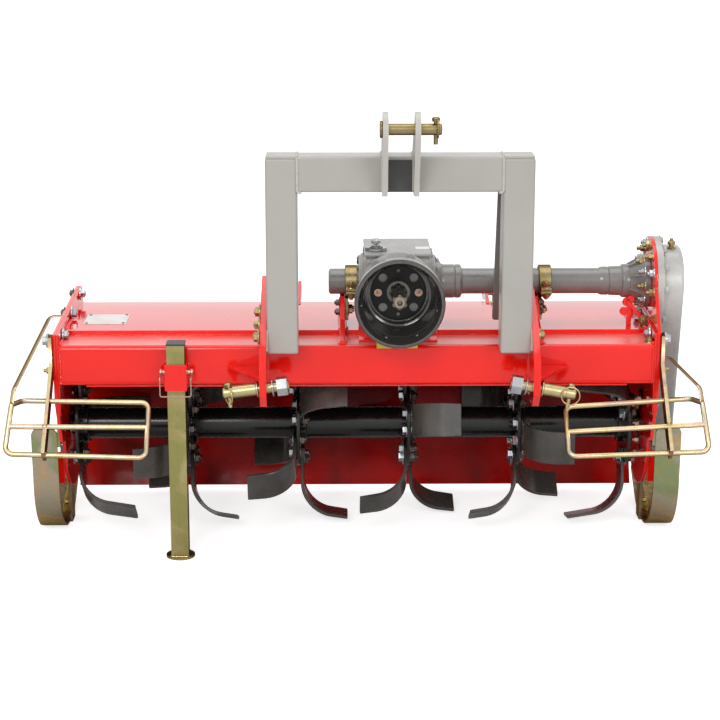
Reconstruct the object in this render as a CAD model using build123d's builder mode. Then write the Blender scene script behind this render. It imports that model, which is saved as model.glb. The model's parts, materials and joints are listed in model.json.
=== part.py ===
from build123d import *
from math import cos, hypot, radians, sin, tan
import os

os.makedirs("parts", exist_ok=True)

# ---------------------------------------------------------------------------
# Driving dimensions, millimetres. +X to the gear-case side, +Y to the rear, +Z up, floor at Z = 0.
# ---------------------------------------------------------------------------
FIT = 0.3  # gap left between pieces that are bolted or stood against each other
RUN = 0.05  # radial running clearance of a pin in its bore
WELD = 0.02  # radial gap where a round piece is welded in a hole

# Front beam and hood
BEAM_FRONT_Y = -189.0
BEAM_DEPTH = 100.0
BEAM_TOP_Z = 495.0
BEAM_HEIGHT = 94.0
BEAM_WALL = 6.0
BEAM_LIP = 45.0  # depth of the beam's lower flange, short of the rotor
HOOD_WIDTH = 1354.0
DECK_T = 4.0
DECK_STEP = 12.0  # the deck stands this much above the beam
DECK_FLANGE = 34.0  # depth of the flange that is welded to the beam's back
DECK_FLAT = 209.0  # length of the level part of the deck
DECK_SLOPE_RUN = 121.0
DECK_SLOPE_DROP = 7.0
REAR_DROP = 132.0  # height of the hood's steep rear wall
REAR_RUN = 62.0
END_PLATE_T = 6.0
SIDE_PLATE_T = 8.0
PLATE_TOP_FRONT_Z = 521.0
PLATE_TOP_REAR_Z = 542.0
END_PLATE_BOTTOM_Z = 330.0
PLATE_LOWER_R = 150.0  # rounded lower end of the side plates, about the rotor

# Rotor
ROTOR_SETBACK = 245.0  # rotor's axis behind the beam's front face
ROTOR_Y = BEAM_FRONT_Y + ROTOR_SETBACK
ROTOR_Z = 242.5
ROTOR_R = 237.0
ROTOR_TUBE_R = 38.0
ROTOR_JOURNAL_R = 22.5
ROTOR_END_GAP = 8.0
FLANGE_R = 105.0
FLANGE_T = 8.0
FLANGE_COUNT = 6
FLANGE_END_LEFT = 13.5  # from the hood's left end to the middle of the first flange
FLANGE_END_RIGHT = 27.5
COLLAR_R = 48.0
COLLAR_LENGTH = 16.0
BLADE_T = 8.0
BLADE_WIDTH = 78.0
BLADE_TIP_GAP = 4.3  # from a blade's end to the middle between two flanges
BLADE_TIP_LEAN = 9.0  # degrees; a blade's end stands this much further out than its bend
BLADE_BEND_R = 85.0
BLADE_ROOT_R = 62.0
BLADE_PHASE = 69.0  # degrees from straight forward, first flange
BLADE_STAGGER = -17.2  # degrees from each flange to the next

# Drive line
HITCH_X = 94.0  # the hitch and the gearbox stand off centre
AXLE_SETBACK = 168.0
AXLE_Y = BEAM_FRONT_Y + AXLE_SETBACK
AXLE_Z = 608.0
AXLE_R = 30.0
AXLE_NECK_R = 39.5
AXLE_NECK_LENGTH = 62.0
STUB_LENGTH = 70.0
BELL_R = 62.0
BELL_LENGTH = 14.0
BELL_FLANGE_T = 11.0  # round flanges on the gearbox's sides
GEARBOX_WIDTH = 156.0
GEARBOX_FRONT_Y = BEAM_FRONT_Y + 60.0
GEARBOX_DEPTH = 191.0
GEARBOX_TOP_Z = 694.0
SADDLE_T = 15.0
GEARBOX_BOTTOM_Z = BEAM_TOP_Z + DECK_STEP + SADDLE_T
PTO_Z = 612.0
PTO_R = 17.45
PTO_JOURNAL_R = 20.0  # where the shaft runs in the gearbox
PTO_TIP_Y = BEAM_FRONT_Y - 85.0
PTO_GROOVE = 3.0
PTO_GROOVE_FROM_TIP = 34.0
PTO_GROOVE_WIDTH = 8.0
PTO_CHAMFER = 2.0
PTO_BURIED = 110.0  # length of the shaft inside the gearbox
COVER_R = 100.0
COVER_LENGTH = 12.0
GUARD_RIM_R = 101.0
GUARD_MOUTH_R = 80.0
GUARD_BACK_R = 66.0
GUARD_LENGTH = 125.0
GUARD_WALL = 5.0
GUARD_RIM_LENGTH = 30.0
GUARD_FORWARD = 100.0  # how far the guard stands in front of the beam
CASE_R = 85.0
CASE_FLANGE_R = 105.0
CASE_FLANGE_T = 16.0
CASE_DEPTH = 49.0
CASE_BOSS_R = 34.0
CASE_BOSS_LENGTH = 6.0
POST_T = 12.0
POST_LEFT_GAP = 44.0  # from the gearbox's left end to the left post
POST_RIGHT_GAP = 7.0  # from the right link plate to the right post
CLAMP_T = 8.0
CLAMP_WIDTH = 29.0

# Three-point hitch
HOOP_WIDTH = 592.0
HOOP_TUBE = 70.0
HOOP_WALL = 5.0
HOOP_TOP_Z = 937.0
HOOP_BOTTOM_Z = 492.0
CROSSBAR_HEIGHT = 80.0
LINK_PLATE_T = 16.0
LINK_PIN_Y = BEAM_FRONT_Y - 100.0
LINK_PIN_Z = 422.0
LINK_PIN_R = 14.0
LINK_PIN_REACH = 91.0  # from the link plate's middle out to the pin's end
LINK_PIN_DROOP = {"left": 7.0, "right": 10.0}  # degrees below level
LINK_TIP_R = 13.0  # turned down where the linch pin goes through
LINK_TIP_LENGTH = 22.0
LINK_SHANK_R = 12.0
LINK_HOLE_R = 14.5
LINK_COLLAR_R = 19.0
LINK_COLLAR_T = 5.0
LINK_NUT_R = 22.0
LINK_NUT_T = 25.0
LINK_NUT_SLACK = 8.0  # the nut isn't run up to its washer
LINK_WASHER_R = 21.0
LINK_WASHER_T = 3.0
LINK_WASHER_SLACK = 9.0  # nor the washer to the plate
LINK_THREAD_OUT = 3.0
LINCH_R = 5.0
LINCH_LENGTH = 58.0
LINCH_FROM_TIP = 13.0
CLEVIS_T = 12.0
CLEVIS_GAP = 57.0
TOP_PIN_Y = BEAM_FRONT_Y - 140.0
TOP_PIN_RISE = 68.0  # top link pin above the hoop
TOP_PIN_R = 12.5
TOP_PIN_LENGTH = 128.0
TOP_LUG_R = 38.0
STAY_WIDTH = {"left": 60.0, "right": 74.0}
STAY_T = 10.0
STAY_TOP_Z = 905.0
STAY_FOOT_BACK = 120.0  # the stay's foot behind the beam's front face
STAY_FOOT_RISE = 18.0  # and above the deck
STAY_CORNER_R = 6.0
LINK_PLATE_REAR = 17.0  # the link plate reaches this far behind the beam
LINK_PLATE_REAR_Z = 633.0
GUSSET_WIDTH = 75.0  # gussets between the link plates and the beam
GUSSET_DEPTH = 124.0
GUSSET_Z = 441.0

# Skids, guard rails, parking stand
SKID_WIDTH = 60.0
SKID_T = 6.0
SKID_GAP = 7.0  # between the side plate and the strip, taken up by the tabs
RAIL_ROD_R = 6.0
RAIL_IN = 223.0  # how far a guard rail reaches inwards from the side plate's outer face
RAIL_OUT = 92.0
RAIL_LEAN = 16.0  # the outer rod's upper bend stands this much nearer the plate
RAIL_BEND_R = 18.0
RAIL_BAR_T = 8.0
RAIL_BAR_WIDTH = 36.0
RAIL_LOW_Z = 288.0  # heights of the rails' rods
RAIL_MIDDLE_Z = {"left": 338.0, "right": 326.0}  # at their inner ends
RAIL_TOP_Z = {"left": 383.0, "right": 370.0}
RAIL_OUTER_MIDDLE_Z = 343.0
RAIL_OUTER_TOP_Z = 387.0
RAIL_BEND_Z = 418.0
STAND_X = -409.0
STAND_TUBE = 40.0
STAND_WALL = 3.0
STAND_TOP_Z = 509.0
STAND_FOOT_R = 33.0
STAND_FOOT_T = 5.0
SOCKET_TUBE = 50.0
SOCKET_CLEARANCE = 0.5
SOCKET_BOTTOM_Z = 402.0
SOCKET_HEIGHT = 61.0
STAND_PIN_R = 5.0
STAND_PIN_LENGTH = 76.0
STAND_HOLE_PITCH = 45.0
STAND_HOLE_COUNT = 5

# Rear flap and its spring rods
FLAP_T = 4.0
HINGE_PIN_R = 5.0
KNUCKLE_R = 9.0
KNUCKLE_LENGTH = 40.0
FLAP_CREASE_Z = 92.0
FLAP_BOTTOM_Z = 14.0
FLAP_TUCK = 42.0  # how far the foot of the flap bends forward
ROD_EYE_DROP = 150.0  # from the flap's hinge down to the eye of a spring rod
ROD_EYE_PLAY = 1.5  # radial play of the rod's eye on its pin
ROD_EYE_OUT = 26.0
SPRING_ROD_R = 7.0
SPRING_R = 17.0
SPRING_LENGTH = 96.0
SWIVEL_R = 14.0

# ---------------------------------------------------------------------------
# Places that follow from the sizes above
# ---------------------------------------------------------------------------
HOOD_HALF = HOOD_WIDTH / 2
FLANGE_PITCH = (HOOD_WIDTH - FLANGE_END_LEFT - FLANGE_END_RIGHT) / (FLANGE_COUNT - 1)
BLADE_REACH = FLANGE_PITCH / 2 - BLADE_TIP_GAP
PLATE_INNER_X = HOOD_HALF + END_PLATE_T
PLATE_OUTER_X = PLATE_INNER_X + SIDE_PLATE_T
BEAM_REAR_Y = BEAM_FRONT_Y + BEAM_DEPTH
BEAM_BOTTOM_Z = BEAM_TOP_Z - BEAM_HEIGHT
DECK_Z = BEAM_TOP_Z + DECK_STEP
DECK_BREAK_Y = BEAM_REAR_Y + DECK_FLAT
DECK_REAR_Y = DECK_BREAK_Y + DECK_SLOPE_RUN
DECK_REAR_Z = DECK_Z - DECK_SLOPE_DROP
HOOD_REAR_Y = DECK_REAR_Y + REAR_RUN
HOOD_REAR_Z = DECK_REAR_Z - REAR_DROP
PLATE_REAR_Y = HOOD_REAR_Y - 8.0
HINGE_Y = HOOD_REAR_Y - DECK_T / 2
HINGE_Z = HOOD_REAR_Z - KNUCKLE_R - 4.0
FLAP_Y = HINGE_Y + KNUCKLE_R  # rear face of the flap
RAIL_INNER_X = PLATE_OUTER_X - RAIL_IN
RAIL_OUTER_X = PLATE_OUTER_X + RAIL_OUT
FLAP_HALF = PLATE_OUTER_X + 12.0
GEARBOX_REAR_Y = GEARBOX_FRONT_Y + GEARBOX_DEPTH
GEARBOX_RIGHT_X = HITCH_X + GEARBOX_WIDTH / 2 + BELL_FLANGE_T
GEARBOX_LEFT_X = HITCH_X - GEARBOX_WIDTH / 2 - BELL_FLANGE_T
POST_X = (GEARBOX_LEFT_X - POST_LEFT_GAP, HITCH_X + HOOP_WIDTH / 2 + LINK_PLATE_T + POST_RIGHT_GAP)
GUARD_FRONT_Y = BEAM_FRONT_Y - GUARD_FORWARD
GUARD_BACK_Y = GUARD_FRONT_Y + GUARD_LENGTH
GEARBOX_NECK_Y = GUARD_BACK_Y + GUARD_WALL + FIT  # the guard is bolted to the end of the gearbox's neck
HOOP_INNER = HOOP_WIDTH / 2 - HOOP_TUBE
TOP_PIN_Z = HOOP_TOP_Z + TOP_PIN_RISE
STAND_Y = BEAM_FRONT_Y - FIT - SOCKET_TUBE / 2
STAND_PIN_Z = SOCKET_BOTTOM_Z + SOCKET_HEIGHT * 0.62
SIDES = (("left", -1), ("right", 1))
# Guard rails: front edge of the flat bar as (y, z), and where each outer rod meets its side plate
RAIL_BAR = (
    (BEAM_FRONT_Y - 12.0, PLATE_TOP_FRONT_Z - 4.0),
    (BEAM_FRONT_Y - 12.0, 452.0),
    (BEAM_FRONT_Y - 177.5, 297.0),
)
RAIL_ANCHOR = {"left": (BEAM_FRONT_Y + 185.0, 522.0), "right": (BEAM_FRONT_Y + 50.0, 452.0)}


def save(piece, name):
    """Labels a finished piece and writes it as its own file."""
    piece.part.label = name
    export_step(piece.part, f"parts/{name}.step")


def across(x):
    """Plane across the machine's width at x, its axes along Y and Z, facing +X."""
    return Plane.YZ.offset(x)


def facing(y):
    """Upright plane at y, its axes along X and Z, facing +Y from behind."""
    return Plane((0, y, 0), x_dir=(-1, 0, 0), z_dir=(0, 1, 0))


# ---------------------------------------------------------------------------
# Frame: beam, deck, end and side plates
# ---------------------------------------------------------------------------
with BuildPart() as front_beam:
    with BuildSketch(across(-HOOD_HALF)):
        with BuildLine():
            Polyline(
                (BEAM_REAR_Y, BEAM_TOP_Z),
                (BEAM_FRONT_Y, BEAM_TOP_Z),
                (BEAM_FRONT_Y, BEAM_BOTTOM_Z),
                (BEAM_FRONT_Y + BEAM_LIP, BEAM_BOTTOM_Z),
            )
            offset(amount=BEAM_WALL, side=Side.LEFT)
        make_face()
    extrude(amount=HOOD_WIDTH)
save(front_beam, "front_beam")

# Knuckle places along the flap's hinge: each station has one flap knuckle between two hood knuckles.
HINGE_STATIONS = (-0.42, -0.14, 0.14, 0.42)  # shares of the hood's width
STATION_X = [share * HOOD_WIDTH for share in HINGE_STATIONS]

with BuildPart() as deck:
    with BuildSketch(across(-HOOD_HALF)):
        with BuildLine():
            Polyline(
                (BEAM_REAR_Y, DECK_Z - DECK_FLANGE),
                (BEAM_REAR_Y, DECK_Z),
                (DECK_BREAK_Y, DECK_Z),
                (DECK_REAR_Y, DECK_REAR_Z),
                (HOOD_REAR_Y, HOOD_REAR_Z),
            )
            offset(amount=DECK_T, side=Side.RIGHT)
        make_face()
    extrude(amount=HOOD_WIDTH)
    for x in STATION_X:
        for start in (x - 1.5 * KNUCKLE_LENGTH - 1, x + 0.5 * KNUCKLE_LENGTH + 1):
            with BuildSketch(across(start)):
                with Locations((HINGE_Y, HINGE_Z)):
                    Circle(KNUCKLE_R)
                with Locations((HINGE_Y, HINGE_Z + KNUCKLE_R)):
                    Rectangle(DECK_T, 2 * KNUCKLE_R)
            extrude(amount=KNUCKLE_LENGTH)
    with BuildSketch(across(-HOOD_HALF)):
        with Locations((HINGE_Y, HINGE_Z)):
            Circle(HINGE_PIN_R + RUN)
    extrude(amount=HOOD_WIDTH, mode=Mode.SUBTRACT)
save(deck, "deck")

# The hood's end plates: the same outline above, cut short over the rotor.
with BuildPart() as end_plates:
    for start in (-HOOD_HALF - END_PLATE_T, HOOD_HALF):
        with BuildSketch(across(start)):
            with BuildLine():
                Polyline(
                    (BEAM_FRONT_Y, END_PLATE_BOTTOM_Z),
                    (BEAM_FRONT_Y, PLATE_TOP_FRONT_Z),
                    (DECK_REAR_Y, PLATE_TOP_REAR_Z),
                    (PLATE_REAR_Y, HOOD_REAR_Z + 60.0),
                    (PLATE_REAR_Y - 30.0, END_PLATE_BOTTOM_Z),
                    close=True,
                )
            make_face()
            with Locations((ROTOR_Y, ROTOR_Z)):
                Circle(COLLAR_R + 12.0, mode=Mode.SUBTRACT)
        extrude(amount=END_PLATE_T)
save(end_plates, "end_plates")

for side, way in SIDES:
    with BuildPart() as side_plate:
        with BuildSketch(across(-PLATE_OUTER_X if way < 0 else PLATE_INNER_X)):
            with BuildLine():
                Polyline(
                    (ROTOR_Y - PLATE_LOWER_R, ROTOR_Z),
                    (BEAM_FRONT_Y + 56.0, ROTOR_Z + 8.0),
                    (BEAM_FRONT_Y, BEAM_BOTTOM_Z - 40.0),
                    (BEAM_FRONT_Y, PLATE_TOP_FRONT_Z),
                    (DECK_REAR_Y, PLATE_TOP_REAR_Z),
                    (PLATE_REAR_Y, HOOD_REAR_Z + 60.0),
                    (PLATE_REAR_Y, HINGE_Z + KNUCKLE_R),
                    (ROTOR_Y + PLATE_LOWER_R, ROTOR_Z),
                )
                RadiusArc((ROTOR_Y + PLATE_LOWER_R, ROTOR_Z), (ROTOR_Y - PLATE_LOWER_R, ROTOR_Z), PLATE_LOWER_R)
            make_face()
            if way > 0:
                with BuildLine():
                    Polyline(
                        (AXLE_Y - CASE_FLANGE_R, AXLE_Z),
                        (BEAM_FRONT_Y, PLATE_TOP_FRONT_Z),
                        (BEAM_FRONT_Y, BEAM_BOTTOM_Z),
                        (AXLE_Y + CASE_FLANGE_R, BEAM_BOTTOM_Z),
                        (AXLE_Y + CASE_FLANGE_R, AXLE_Z),
                    )
                    RadiusArc(
                        (AXLE_Y + CASE_FLANGE_R, AXLE_Z), (AXLE_Y - CASE_FLANGE_R, AXLE_Z), -CASE_FLANGE_R
                    )
                make_face()
            with Locations((ROTOR_Y, ROTOR_Z)):
                Circle(ROTOR_JOURNAL_R + 6.0, mode=Mode.SUBTRACT)
        extrude(amount=SIDE_PLATE_T)
    save(side_plate, f"side_plate_{side}")

# ---------------------------------------------------------------------------
# Drive: gearbox, input shaft, guard, axle tube, side gear case
# ---------------------------------------------------------------------------
with BuildPart() as gearbox:
    with BuildSketch(facing(GEARBOX_FRONT_Y)):
        with Locations((-HITCH_X, (GEARBOX_TOP_Z + GEARBOX_BOTTOM_Z) / 2)):
            RectangleRounded(GEARBOX_WIDTH, GEARBOX_TOP_Z - GEARBOX_BOTTOM_Z, 14.0)
    extrude(amount=GEARBOX_DEPTH)
    with BuildSketch(facing(GEARBOX_FRONT_Y - COVER_LENGTH)):
        with Locations((-HITCH_X, PTO_Z)):
            Circle(COVER_R - 12.0)
    extrude(amount=COVER_LENGTH)
    with BuildSketch(facing(GEARBOX_NECK_Y)):
        with Locations((-HITCH_X, PTO_Z)):
            Circle(GUARD_BACK_R - 8.0)
    extrude(amount=GEARBOX_FRONT_Y - COVER_LENGTH - GEARBOX_NECK_Y)
    # The round side flange where the axle tube is bolted on, and the neck of the left stub
    with BuildSketch(across(GEARBOX_LEFT_X)):
        with Locations((AXLE_Y, AXLE_Z)):
            Circle(BELL_R)
    extrude(amount=GEARBOX_RIGHT_X - GEARBOX_LEFT_X)
    # Bore the input shaft runs in
    with BuildSketch(facing(GEARBOX_NECK_Y)):
        with Locations((-HITCH_X, PTO_Z)):
            Circle(PTO_JOURNAL_R + RUN)
    extrude(amount=PTO_BURIED, mode=Mode.SUBTRACT)
    # Breather plug
    with BuildSketch(Plane.XY.offset(GEARBOX_TOP_Z)):
        with Locations((HITCH_X - 50.0, GEARBOX_FRONT_Y + 40.0)):
            Circle(11.0)
    extrude(amount=22.0)
save(gearbox, "gearbox")


with BuildPart() as gearbox_saddle:
    with BuildSketch(Plane.XY.offset(DECK_Z)):
        with Locations((HITCH_X, (BEAM_REAR_Y + GEARBOX_REAR_Y) / 2)):
            Rectangle(GEARBOX_WIDTH + 24.0, GEARBOX_REAR_Y - BEAM_REAR_Y)
    extrude(amount=SADDLE_T)
    with BuildSketch(across(HITCH_X - GEARBOX_WIDTH / 2 - 12.0)):
        with BuildLine():
            Polyline(
                (BEAM_REAR_Y - 70.0, BEAM_TOP_Z),
                (BEAM_REAR_Y - 70.0, BEAM_TOP_Z + 4.0),
                (BEAM_REAR_Y - 30.0, GEARBOX_BOTTOM_Z),
                (BEAM_REAR_Y, GEARBOX_BOTTOM_Z),
                (BEAM_REAR_Y, BEAM_TOP_Z),
                close=True,
            )
        make_face()
    extrude(amount=GEARBOX_WIDTH + 24.0)
save(gearbox_saddle, "gearbox_saddle")

with BuildPart() as saddle_strip:
    with BuildSketch(Plane.XY.offset(BEAM_TOP_Z)):
        with Locations((HITCH_X - 3.0, BEAM_FRONT_Y + 14.0)):
            Rectangle(93.0, 24.0)
    extrude(amount=6.0)
save(saddle_strip, "saddle_strip")

with BuildPart() as input_shaft:
    for start, length, radius in (
        (PTO_TIP_Y, GEARBOX_NECK_Y - PTO_TIP_Y, PTO_R),
        (GEARBOX_NECK_Y, PTO_BURIED - FIT, PTO_JOURNAL_R),
    ):
        with BuildSketch(facing(start)):
            with Locations((-HITCH_X, PTO_Z)):
                Circle(radius)
        extrude(amount=length)
    chamfer(input_shaft.faces().sort_by(Axis.Y)[0].edges(), length=PTO_CHAMFER)
    # Locking groove for the drive shaft's collar
    with BuildSketch(facing(PTO_TIP_Y + PTO_GROOVE_FROM_TIP)):
        with Locations((-HITCH_X, PTO_Z)):
            Circle(PTO_R + 1.0)
            Circle(PTO_R - PTO_GROOVE, mode=Mode.SUBTRACT)
    extrude(amount=PTO_GROOVE_WIDTH, mode=Mode.SUBTRACT)
save(input_shaft, "input_shaft")

# A bowl of revolution about the input shaft: wide rim, tapered wall, flat back with the shaft's window.
with BuildPart() as pto_guard:
    with BuildSketch(Plane((HITCH_X, 0, PTO_Z), x_dir=(0, 1, 0), z_dir=(1, 0, 0))):
        with BuildLine():
            Polyline(
                (GUARD_FRONT_Y, GUARD_RIM_R - 3.0),
                (GUARD_FRONT_Y + 3.0, GUARD_RIM_R),
                (GUARD_FRONT_Y + GUARD_RIM_LENGTH, GUARD_RIM_R),
                (GUARD_FRONT_Y + GUARD_RIM_LENGTH + 6.0, GUARD_MOUTH_R + GUARD_WALL + 6.0),
                (GUARD_BACK_Y, GUARD_BACK_R + GUARD_WALL),
                (GUARD_BACK_Y + GUARD_WALL, GUARD_BACK_R),
                (GUARD_BACK_Y + GUARD_WALL, PTO_R + 9.0),
                (GUARD_BACK_Y, PTO_R + 9.0),
                (GUARD_BACK_Y, GUARD_BACK_R),
                (GUARD_FRONT_Y + 26.0, GUARD_MOUTH_R - 4.0),
                (GUARD_FRONT_Y + 22.0, GUARD_MOUTH_R),
                (GUARD_FRONT_Y, GUARD_MOUTH_R + 8.0),
                close=True,
            )
        make_face()
    revolve(axis=Axis((HITCH_X, 0, PTO_Z), (0, 1, 0)))
save(pto_guard, "pto_guard")

with BuildPart() as axle_tube:
    with BuildSketch(across(GEARBOX_RIGHT_X)):
        with Locations((AXLE_Y, AXLE_Z)):
            Circle(AXLE_NECK_R)
    extrude(amount=AXLE_NECK_LENGTH)
    with BuildSketch(across(GEARBOX_RIGHT_X)):
        with Locations((AXLE_Y, AXLE_Z)):
            Circle(AXLE_R)
    extrude(amount=PLATE_INNER_X - GEARBOX_RIGHT_X)
    with BuildSketch(across(PLATE_INNER_X - BELL_LENGTH)):
        with Locations((AXLE_Y, AXLE_Z)):
            Circle(BELL_R)
    extrude(amount=BELL_LENGTH)
    with BuildSketch(across(PLATE_INNER_X - BELL_LENGTH - 50.0)):
        with Locations((AXLE_Y, AXLE_Z)):
            Circle(AXLE_NECK_R)
    extrude(amount=16.0)
save(axle_tube, "axle_tube")

with BuildPart() as stub_tube:
    with BuildSketch(across(GEARBOX_LEFT_X - STUB_LENGTH)):
        with Locations((AXLE_Y, AXLE_Z)):
            Circle(AXLE_R)
    extrude(amount=STUB_LENGTH)
save(stub_tube, "stub_tube")

# Side gear case: a flanged housing that runs from the axle down to the rotor.
CASE_START_X = PLATE_OUTER_X
CASE_END_X = PLATE_OUTER_X + CASE_FLANGE_T + CASE_DEPTH
with BuildPart() as side_case:
    for start, length, radius in (
        (CASE_START_X, CASE_FLANGE_T, CASE_FLANGE_R),
        (CASE_START_X + CASE_FLANGE_T, CASE_DEPTH, CASE_R),
    ):
        with BuildSketch(across(start)):
            with BuildLine():
                l1 = Line((AXLE_Y - radius, AXLE_Z), (ROTOR_Y - radius, ROTOR_Z))
                RadiusArc(l1 @ 1, (ROTOR_Y + radius, ROTOR_Z), -radius)
                l2 = Line((ROTOR_Y + radius, ROTOR_Z), (AXLE_Y + radius, AXLE_Z))
                RadiusArc(l2 @ 1, l1 @ 0, -radius)
            make_face()
        extrude(amount=length)
    for y, z in ((AXLE_Y, AXLE_Z), (ROTOR_Y, ROTOR_Z)):
        with BuildSketch(across(CASE_END_X)):
            with Locations((y, z)):
                Circle(CASE_BOSS_R)
        extrude(amount=CASE_BOSS_LENGTH)
    with BuildSketch(across(CASE_START_X)):
        with Locations((ROTOR_Y, ROTOR_Z)):
            Circle(ROTOR_JOURNAL_R + RUN)
    extrude(amount=CASE_FLANGE_T + CASE_DEPTH - 10.0, mode=Mode.SUBTRACT)
save(side_case, "side_case")

with BuildPart() as bearing_left:
    with BuildSketch(across(-PLATE_OUTER_X - 26.0)):
        with Locations((ROTOR_Y, ROTOR_Z)):
            Circle(52.0)
    extrude(amount=26.0)
    with BuildSketch(across(-PLATE_OUTER_X - 10.0)):
        with Locations((ROTOR_Y, ROTOR_Z)):
            Circle(74.0)
    extrude(amount=10.0)
    with BuildSketch(across(-PLATE_OUTER_X - 20.0)):
        with Locations((ROTOR_Y, ROTOR_Z)):
            Circle(ROTOR_JOURNAL_R + RUN)
    extrude(amount=20.0, mode=Mode.SUBTRACT)
save(bearing_left, "bearing_left")

# Posts that carry the axle tube, and the straps that hold it down on them
with BuildPart() as tube_posts:
    for start in POST_X:
        with BuildSketch(across(start)):
            with BuildLine():
                Polyline(
                    (BEAM_FRONT_Y + 6.0, BEAM_TOP_Z),
                    (BEAM_REAR_Y, BEAM_TOP_Z),
                    (BEAM_REAR_Y, DECK_Z),
                    (AXLE_Y + 74.0, DECK_Z),
                    (AXLE_Y + 34.0, AXLE_Z - AXLE_R - FIT),
                    (AXLE_Y - 30.0, AXLE_Z - AXLE_R - FIT),
                    (AXLE_Y - 62.0, DECK_Z + 24.0),
                    (BEAM_FRONT_Y + 6.0, BEAM_TOP_Z + 10.0),
                    close=True,
                )
            make_face()
        extrude(amount=POST_T)
save(tube_posts, "tube_posts")

with BuildPart() as tube_clamps:
    for start in [x + POST_T + FIT for x in POST_X]:
        with BuildSketch(across(start)):
            with Locations((AXLE_Y, AXLE_Z)):
                Circle(AXLE_R + RUN + CLAMP_T)
                Circle(AXLE_R + RUN, mode=Mode.SUBTRACT)
        extrude(amount=CLAMP_WIDTH)
        with BuildSketch(across(start)):
            with Locations((AXLE_Y, AXLE_Z - AXLE_R - 32.0)):
                Rectangle(50.0, 52.0)
        extrude(amount=CLAMP_T)
save(tube_clamps, "tube_clamps")

# ---------------------------------------------------------------------------
# Three-point hitch
# ---------------------------------------------------------------------------
for side, way in SIDES:
    with BuildPart() as upright:
        with BuildSketch(Plane.XY.offset(HOOP_BOTTOM_Z)):
            with Locations((HITCH_X + way * (HOOP_WIDTH - HOOP_TUBE) / 2, BEAM_FRONT_Y - HOOP_TUBE / 2)):
                RectangleRounded(HOOP_TUBE, HOOP_TUBE, 6.0)
                RectangleRounded(HOOP_TUBE - 2 * HOOP_WALL, HOOP_TUBE - 2 * HOOP_WALL, 3.0, mode=Mode.SUBTRACT)
        extrude(amount=HOOP_TOP_Z - HOOP_BOTTOM_Z)
        # The tube is closed at its top
        with BuildSketch(Plane.XY.offset(HOOP_TOP_Z - HOOP_WALL)):
            with Locations((HITCH_X + way * (HOOP_WIDTH - HOOP_TUBE) / 2, BEAM_FRONT_Y - HOOP_TUBE / 2)):
                RectangleRounded(HOOP_TUBE - HOOP_WALL, HOOP_TUBE - HOOP_WALL, 3.0)
        extrude(amount=HOOP_WALL)
    save(upright, f"upright_{side}")

with BuildPart() as crossbar:
    with BuildSketch(across(HITCH_X - HOOP_INNER)):
        with Locations((BEAM_FRONT_Y - HOOP_TUBE / 2, HOOP_TOP_Z - CROSSBAR_HEIGHT / 2)):
            RectangleRounded(HOOP_TUBE, CROSSBAR_HEIGHT, 6.0)
            RectangleRounded(
                HOOP_TUBE - 2 * HOOP_WALL, CROSSBAR_HEIGHT - 2 * HOOP_WALL, 3.0, mode=Mode.SUBTRACT
            )
    extrude(amount=2 * HOOP_INNER)
save(crossbar, "crossbar")

HOOP_FRONT_Y = BEAM_FRONT_Y - HOOP_TUBE
for side, way in SIDES:
    plate_inner = HITCH_X + way * HOOP_WIDTH / 2
    plate_start = plate_inner if way > 0 else plate_inner - LINK_PLATE_T
    plate_outer = HITCH_X + way * (HOOP_WIDTH / 2 + LINK_PLATE_T)
    with BuildPart() as link_plate:
        with BuildSketch(across(plate_start)):
            with BuildLine():
                Polyline(
                    (BEAM_FRONT_Y, BEAM_TOP_Z),
                    (BEAM_FRONT_Y, LINK_PIN_Z - 43.0),
                    (LINK_PIN_Y - 1.0, LINK_PIN_Z - 43.0),
                    (LINK_PIN_Y - 30.0, LINK_PIN_Z - 12.0),
                    (LINK_PIN_Y - 30.0, LINK_PIN_Z + 53.0),
                    (BEAM_FRONT_Y - 73.0, 546.0),
                    (BEAM_FRONT_Y + 60.0, 612.0),
                    (BEAM_FRONT_Y + 64.0, 606.0),
                    (BEAM_REAR_Y + LINK_PLATE_REAR, LINK_PLATE_REAR_Z),
                    (BEAM_REAR_Y + LINK_PLATE_REAR, DECK_Z),
                    (BEAM_REAR_Y, DECK_Z),
                    (BEAM_REAR_Y, BEAM_TOP_Z),
                    close=True,
                )
            make_face()
            with Locations((LINK_PIN_Y, LINK_PIN_Z)):
                Circle(LINK_HOLE_R, mode=Mode.SUBTRACT)
        extrude(amount=LINK_PLATE_T)
        with BuildSketch(Plane.XY.offset(GUSSET_Z)):
            with BuildLine():
                Polyline(
                    (plate_outer, BEAM_FRONT_Y),
                    (plate_outer + way * GUSSET_WIDTH, BEAM_FRONT_Y),
                    (plate_outer, BEAM_FRONT_Y - GUSSET_DEPTH),
                    close=True,
                )
            make_face()
        extrude(amount=8.0)
    save(link_plate, f"link_plate_{side}")

# Lower link pins: each droops a little from level, as it sits in its oversize hole.
def seat(radius, droop):
    """How far from the link plate's middle a disc of this radius on a drooping pin comes up to it."""
    return (LINK_PLATE_T / 2 + FIT + radius * sin(droop)) / cos(droop)


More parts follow.
